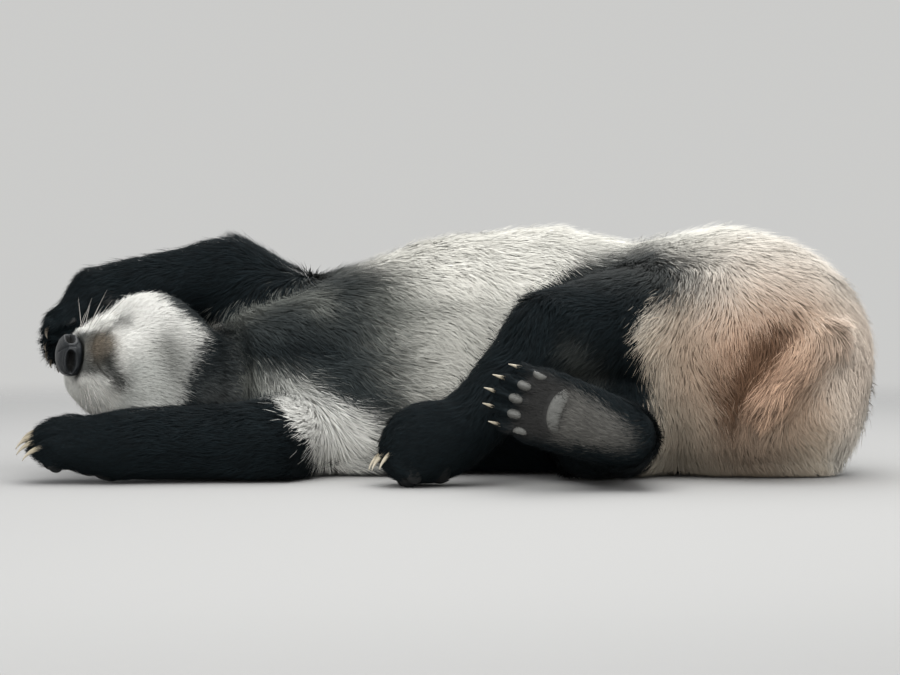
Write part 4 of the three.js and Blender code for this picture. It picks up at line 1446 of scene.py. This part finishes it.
def make_tone_group(darkest, lightest):
    group = bpy.data.node_groups.new("uneven_tone", "ShaderNodeTree")
    group.interface.new_socket("Color", in_out="INPUT", socket_type="NodeSocketColor")
    group.interface.new_socket("Scale", in_out="INPUT", socket_type="NodeSocketFloat")
    group.interface.new_socket("Color", in_out="OUTPUT", socket_type="NodeSocketColor")
    start = add_node(group, "NodeGroupInput")
    end = add_node(group, "NodeGroupOutput")
    place = add_node(group, "ShaderNodeTexCoord")
    noise = add_node(group, "ShaderNodeTexNoise", Detail=4.0)
    shades = {"From_Min": 0.3, "From_Max": 0.7, "To_Min": darkest, "To_Max": lightest}
    ramp = add_node(group, "ShaderNodeMapRange", **shades)
    times = add_node(group, "ShaderNodeVectorMath")
    times.operation = "SCALE"
    group.links.new(place.outputs["Object"], noise.inputs["Vector"])
    group.links.new(start.outputs["Scale"], noise.inputs["Scale"])
    group.links.new(noise.outputs["Fac"], ramp.inputs["Value"])
    group.links.new(start.outputs["Color"], times.inputs[0])
    group.links.new(ramp.outputs["Result"], times.inputs["Scale"])
    group.links.new(times.outputs["Vector"], end.inputs["Color"])
    return group


uneven_tone = make_tone_group(0.92, 1.05)
print("uneven tone is one group of", len(uneven_tone.nodes), "nodes")

# %% [markdown]
# ## Coat and skin
# Fur is soft and dull, with only a weak gleam. A hair shader is lost when a model is exported, so the coat
# has a plain rough surface, and its softness comes from the normals of the tufts. The skin between them
# takes the same colours a little darker, as painted shade under the coat.


# %% Coat and skin
# Painted shade: the skin is drawn a little darker than the coat above it.
SKIN_SHADE = 0.96


def node_material(name, roughness, specular):
    material = bpy.data.materials.new(name)
    material.use_nodes = True
    tree = material.node_tree
    shader = tree.nodes["Principled BSDF"]
    shader.inputs["Roughness"].default_value = roughness
    shader.inputs["Specular IOR Level"].default_value = specular
    return material, tree, shader


def place_tone(tree, colour_from, scale, shader):
    """Sends a colour through the uneven tone to the shader."""
    tone = tree.nodes.new("ShaderNodeGroup")
    tone.node_tree = uneven_tone
    tone.inputs["Scale"].default_value = scale
    tree.links.new(colour_from, tone.inputs["Color"])
    tree.links.new(tone.outputs["Color"], shader.inputs["Base Color"])


def stored_value(tree, name):
    """The node that reads a value or colour stored on the points."""
    source = tree.nodes.new("ShaderNodeAttribute")
    source.attribute_name = name
    return source


def coloured_by_coat(name, roughness, specular, scale):
    material, tree, shader = node_material(name, roughness, specular)
    place_tone(tree, stored_value(tree, "coat").outputs["Color"], scale, shader)
    return material


coat_material = coloured_by_coat("coat", 0.8, 0.13, 24.0)
for piece in coat_pieces:
    piece.data.materials.append(coat_material)
    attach(piece, "root")

skin = add_object("skin", body, coloured_by_coat("skin", 0.75, 0.18, 40.0))
keep_on_points(body, "coat", np.clip(colour * SKIN_SHADE, 0, 1))
body.shade_smooth()
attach(skin, "root")
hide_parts(*flesh)
print("skin and", len(coat_pieces), "pieces of coat have their materials")

# %% [markdown]
# ## Nose, claws, eyes, pads and whiskers
# Bare skin is dark, damp and pebbled. Horn is dark where it leaves the toe and pale at the tip. An eye is
# glossy. In each of these but the whiskers the colour runs along one value stored on the points, such as
# how far along the claw a point is. No value is stored on the whiskers, so they keep the colour of the
# first stop. One function makes all five, with pebbles as bumps where they are wanted.


# %% Nose, claws, eyes, pads and whiskers
FINE_BLOTCHES = 160.0
# Stops: where along the stored value, and the colour there.
# The nose darkens down into the nostrils: painted shade in the holes.
NOSE_STOPS = [(0.0, (0.008, 0.010, 0.012)), (0.5, (0.001, 0.001, 0.001))]
HORN_STOPS = [(0.25, (0.09, 0.075, 0.055)), (0.5, (0.42, 0.36, 0.25)), (0.95, (0.62, 0.56, 0.44))]
EYE_STOPS = [(0.55, (0.35, 0.30, 0.25)), (0.72, (0.035, 0.018, 0.008)), (0.93, (0.002, 0.002, 0.002))]
PAD_STOPS = [(0.0, (0.006, 0.007, 0.007)), (1.0, (0.115, 0.115, 0.105))]
WHISKER_STOPS = [(0.0, (0.35, 0.33, 0.3)), (1.0, (0.5, 0.5, 0.5))]
# Pebbles: how many to a metre, how high in metres, and how strongly they shade.
NOSE_PEBBLES = (620.0, 0.0006, 0.6)
PAD_PEBBLES = (480.0, 0.0008, 0.7)
NOSE_ROUGHNESS = 0.36


def by_share(name, attribute, stops, roughness, specular, pebbles=None):
    """A material whose colour runs through stops along one stored value."""
    material, tree, shader = node_material(name, roughness, specular)
    source = stored_value(tree, attribute)
    ramp = tree.nodes.new("ShaderNodeValToRGB")
    while len(ramp.color_ramp.elements) < len(stops):
        ramp.color_ramp.elements.new(0.5)
    for element, (at, tint) in zip(ramp.color_ramp.elements, stops):
        element.position = at
        element.color = (*tint, 1.0)
    tree.links.new(source.outputs["Fac"], ramp.inputs["Fac"])
    place_tone(tree, ramp.outputs["Color"], FINE_BLOTCHES, shader)
    if pebbles:
        scale, height, strength = pebbles
        place = add_node(tree, "ShaderNodeTexCoord")
        cells = add_node(tree, "ShaderNodeTexVoronoi", Scale=scale)
        raised = add_node(tree, "ShaderNodeBump", Distance=height, Strength=strength)
        raised.invert = True
        tree.links.new(place.outputs["Object"], cells.inputs["Vector"])
        tree.links.new(cells.outputs["Distance"], raised.inputs["Height"])
        tree.links.new(raised.outputs["Normal"], shader.inputs["Normal"])
    return material


nose_material = by_share("nose_skin", "hole", NOSE_STOPS, NOSE_ROUGHNESS, 0.36, NOSE_PEBBLES)
pieces_and_finish = (
    ([nose], nose_material),
    (claw_pieces, by_share("claw_horn", "along", HORN_STOPS, 0.38, 0.45)),
    (eye_pieces, by_share("eye", "iris", EYE_STOPS, 0.08, 0.6)),
    (pad_pieces, by_share("pad_skin", "worn", PAD_STOPS, 0.48, 0.3, PAD_PEBBLES)),
    ([whiskers], by_share("whisker", "worn", WHISKER_STOPS, 0.4, 0.4)),
)
for pieces, material in pieces_and_finish:
    for piece in pieces:
        piece.data.materials.append(material)
    print(material.name, "on", len(pieces), "pieces")

# The nose is damp outside and dull inside the nostrils.
nose_tree = nose_material.node_tree
dull = add_node(nose_tree, "ShaderNodeMapRange", To_Min=NOSE_ROUGHNESS, To_Max=1.0)
hole = next(node for node in nose_tree.nodes if node.type == "ATTRIBUTE")
nose_tree.links.new(hole.outputs["Fac"], dull.inputs["Value"])
nose_tree.links.new(dull.outputs["Result"], nose_tree.nodes["Principled BSDF"].inputs["Roughness"])

# %% [markdown]
# ## Floor
# A plain pale floor shows how the weight of the animal rests. A curved backdrop would stand in the way of
# a camera behind the animal, so the floor is a round sheet that fades out at its rim.

# %% Floor
FLOOR_COLOUR = (0.41, 0.405, 0.39, 1.0)
FLOOR_SOLID, FLOOR_FADED, FLOOR_RADIUS, FLOOR_SIDES = 1.5, 3.3, 3.4, 96
stage_material, stage_tree, stage_shader = node_material("studio_floor", 0.9, 0.1)
stage_shader.inputs["Base Color"].default_value = FLOOR_COLOUR
floor_place = add_node(stage_tree, "ShaderNodeTexCoord")
from_middle = add_node(stage_tree, "ShaderNodeVectorMath")
from_middle.operation = "LENGTH"
fading = {"From_Min": FLOOR_SOLID, "From_Max": FLOOR_FADED, "To_Min": 1.0, "To_Max": 0.0}
fade = add_node(stage_tree, "ShaderNodeMapRange", **fading)
fade.interpolation_type = "SMOOTHSTEP"
stage_tree.links.new(floor_place.outputs["Object"], from_middle.inputs[0])
stage_tree.links.new(from_middle.outputs["Value"], fade.inputs["Value"])
stage_tree.links.new(fade.outputs["Result"], stage_shader.inputs["Alpha"])
turns = np.linspace(0, 2 * math.pi, FLOOR_SIDES, endpoint=False)
rim = np.stack([np.cos(turns), np.sin(turns), 0 * turns], 1) * FLOOR_RADIUS
floor_mesh = mesh_from("studio_floor", rim, [tuple(range(FLOOR_SIDES))])
floor = add_object("studio_floor", floor_mesh, stage_material)
print("the floor is", 2 * FLOOR_RADIUS, "metres across")

# %% [markdown]
# ## Light
# A large lamp gives soft shadows, as a cloudy sky does. The key light hangs above in front and another
# above behind, so that every side can be seen. A wide low fill lights the belly, and a weak light at the
# side models the rump. The world adds an even bluish daylight. Only the camera and reflections see it as
# the pale surrounding that the floor fades into.

# %% Light
LIGHT_AIM = Vector((0.0, 0.0, 0.2))
DAYLIGHT, DAYLIGHT_STRENGTH = (0.9, 0.93, 1.0, 1.0), 0.60
SURROUNDING = (0.60, 0.60, 0.59, 1.0)
# Each lamp: its place, its width in metres and its power in watts.
LAMPS = {
    "key_light": ((0.1, -1.2, 2.5), 2.8, 66),
    "back_light": ((0.2, 1.1, 2.2), 2.4, 46),
    "fill_light": ((-0.9, -3.2, 0.6), 2.8, 48),
    "side_light": ((2.6, -1.1, 0.9), 1.8, 14),
}
for name, (place, size, watts) in LAMPS.items():
    lamp = bpy.data.lights.new(name, "AREA")
    lamp.energy = watts
    lamp.size = size
    lamp_object = bpy.data.objects.new(name, lamp)
    lamp_object.location = place
    lamp_object.rotation_euler = (LIGHT_AIM - Vector(place)).to_track_quat("-Z", "Y").to_euler()
    bpy.context.scene.collection.objects.link(lamp_object)

world = bpy.data.worlds.new("studio")
world.use_nodes = True
around = world.node_tree
daylight = around.nodes["Background"]
daylight.inputs["Color"].default_value = DAYLIGHT
daylight.inputs["Strength"].default_value = DAYLIGHT_STRENGTH
backdrop = add_node(around, "ShaderNodeBackground", Color=SURROUNDING)
ray = add_node(around, "ShaderNodeLightPath")
choose = add_node(around, "ShaderNodeMixShader")
seen = ray.outputs["Is Camera Ray"]
for kind in ("Is Glossy Ray", "Is Transmission Ray"):
    either = add_node(around, "ShaderNodeMath")
    either.operation = "MAXIMUM"
    around.links.new(seen, either.inputs[0])
    around.links.new(ray.outputs[kind], either.inputs[1])
    seen = either.outputs["Value"]
around.links.new(seen, choose.inputs["Fac"])
around.links.new(daylight.outputs["Background"], choose.inputs[1])
around.links.new(backdrop.outputs["Background"], choose.inputs[2])
around.links.new(choose.outputs["Shader"], around.nodes["World Output"].inputs["Surface"])
bpy.context.scene.world = world
bpy.context.scene.view_settings.view_transform = "Standard"
print(len(LAMPS), "soft lights and the daylight are on")
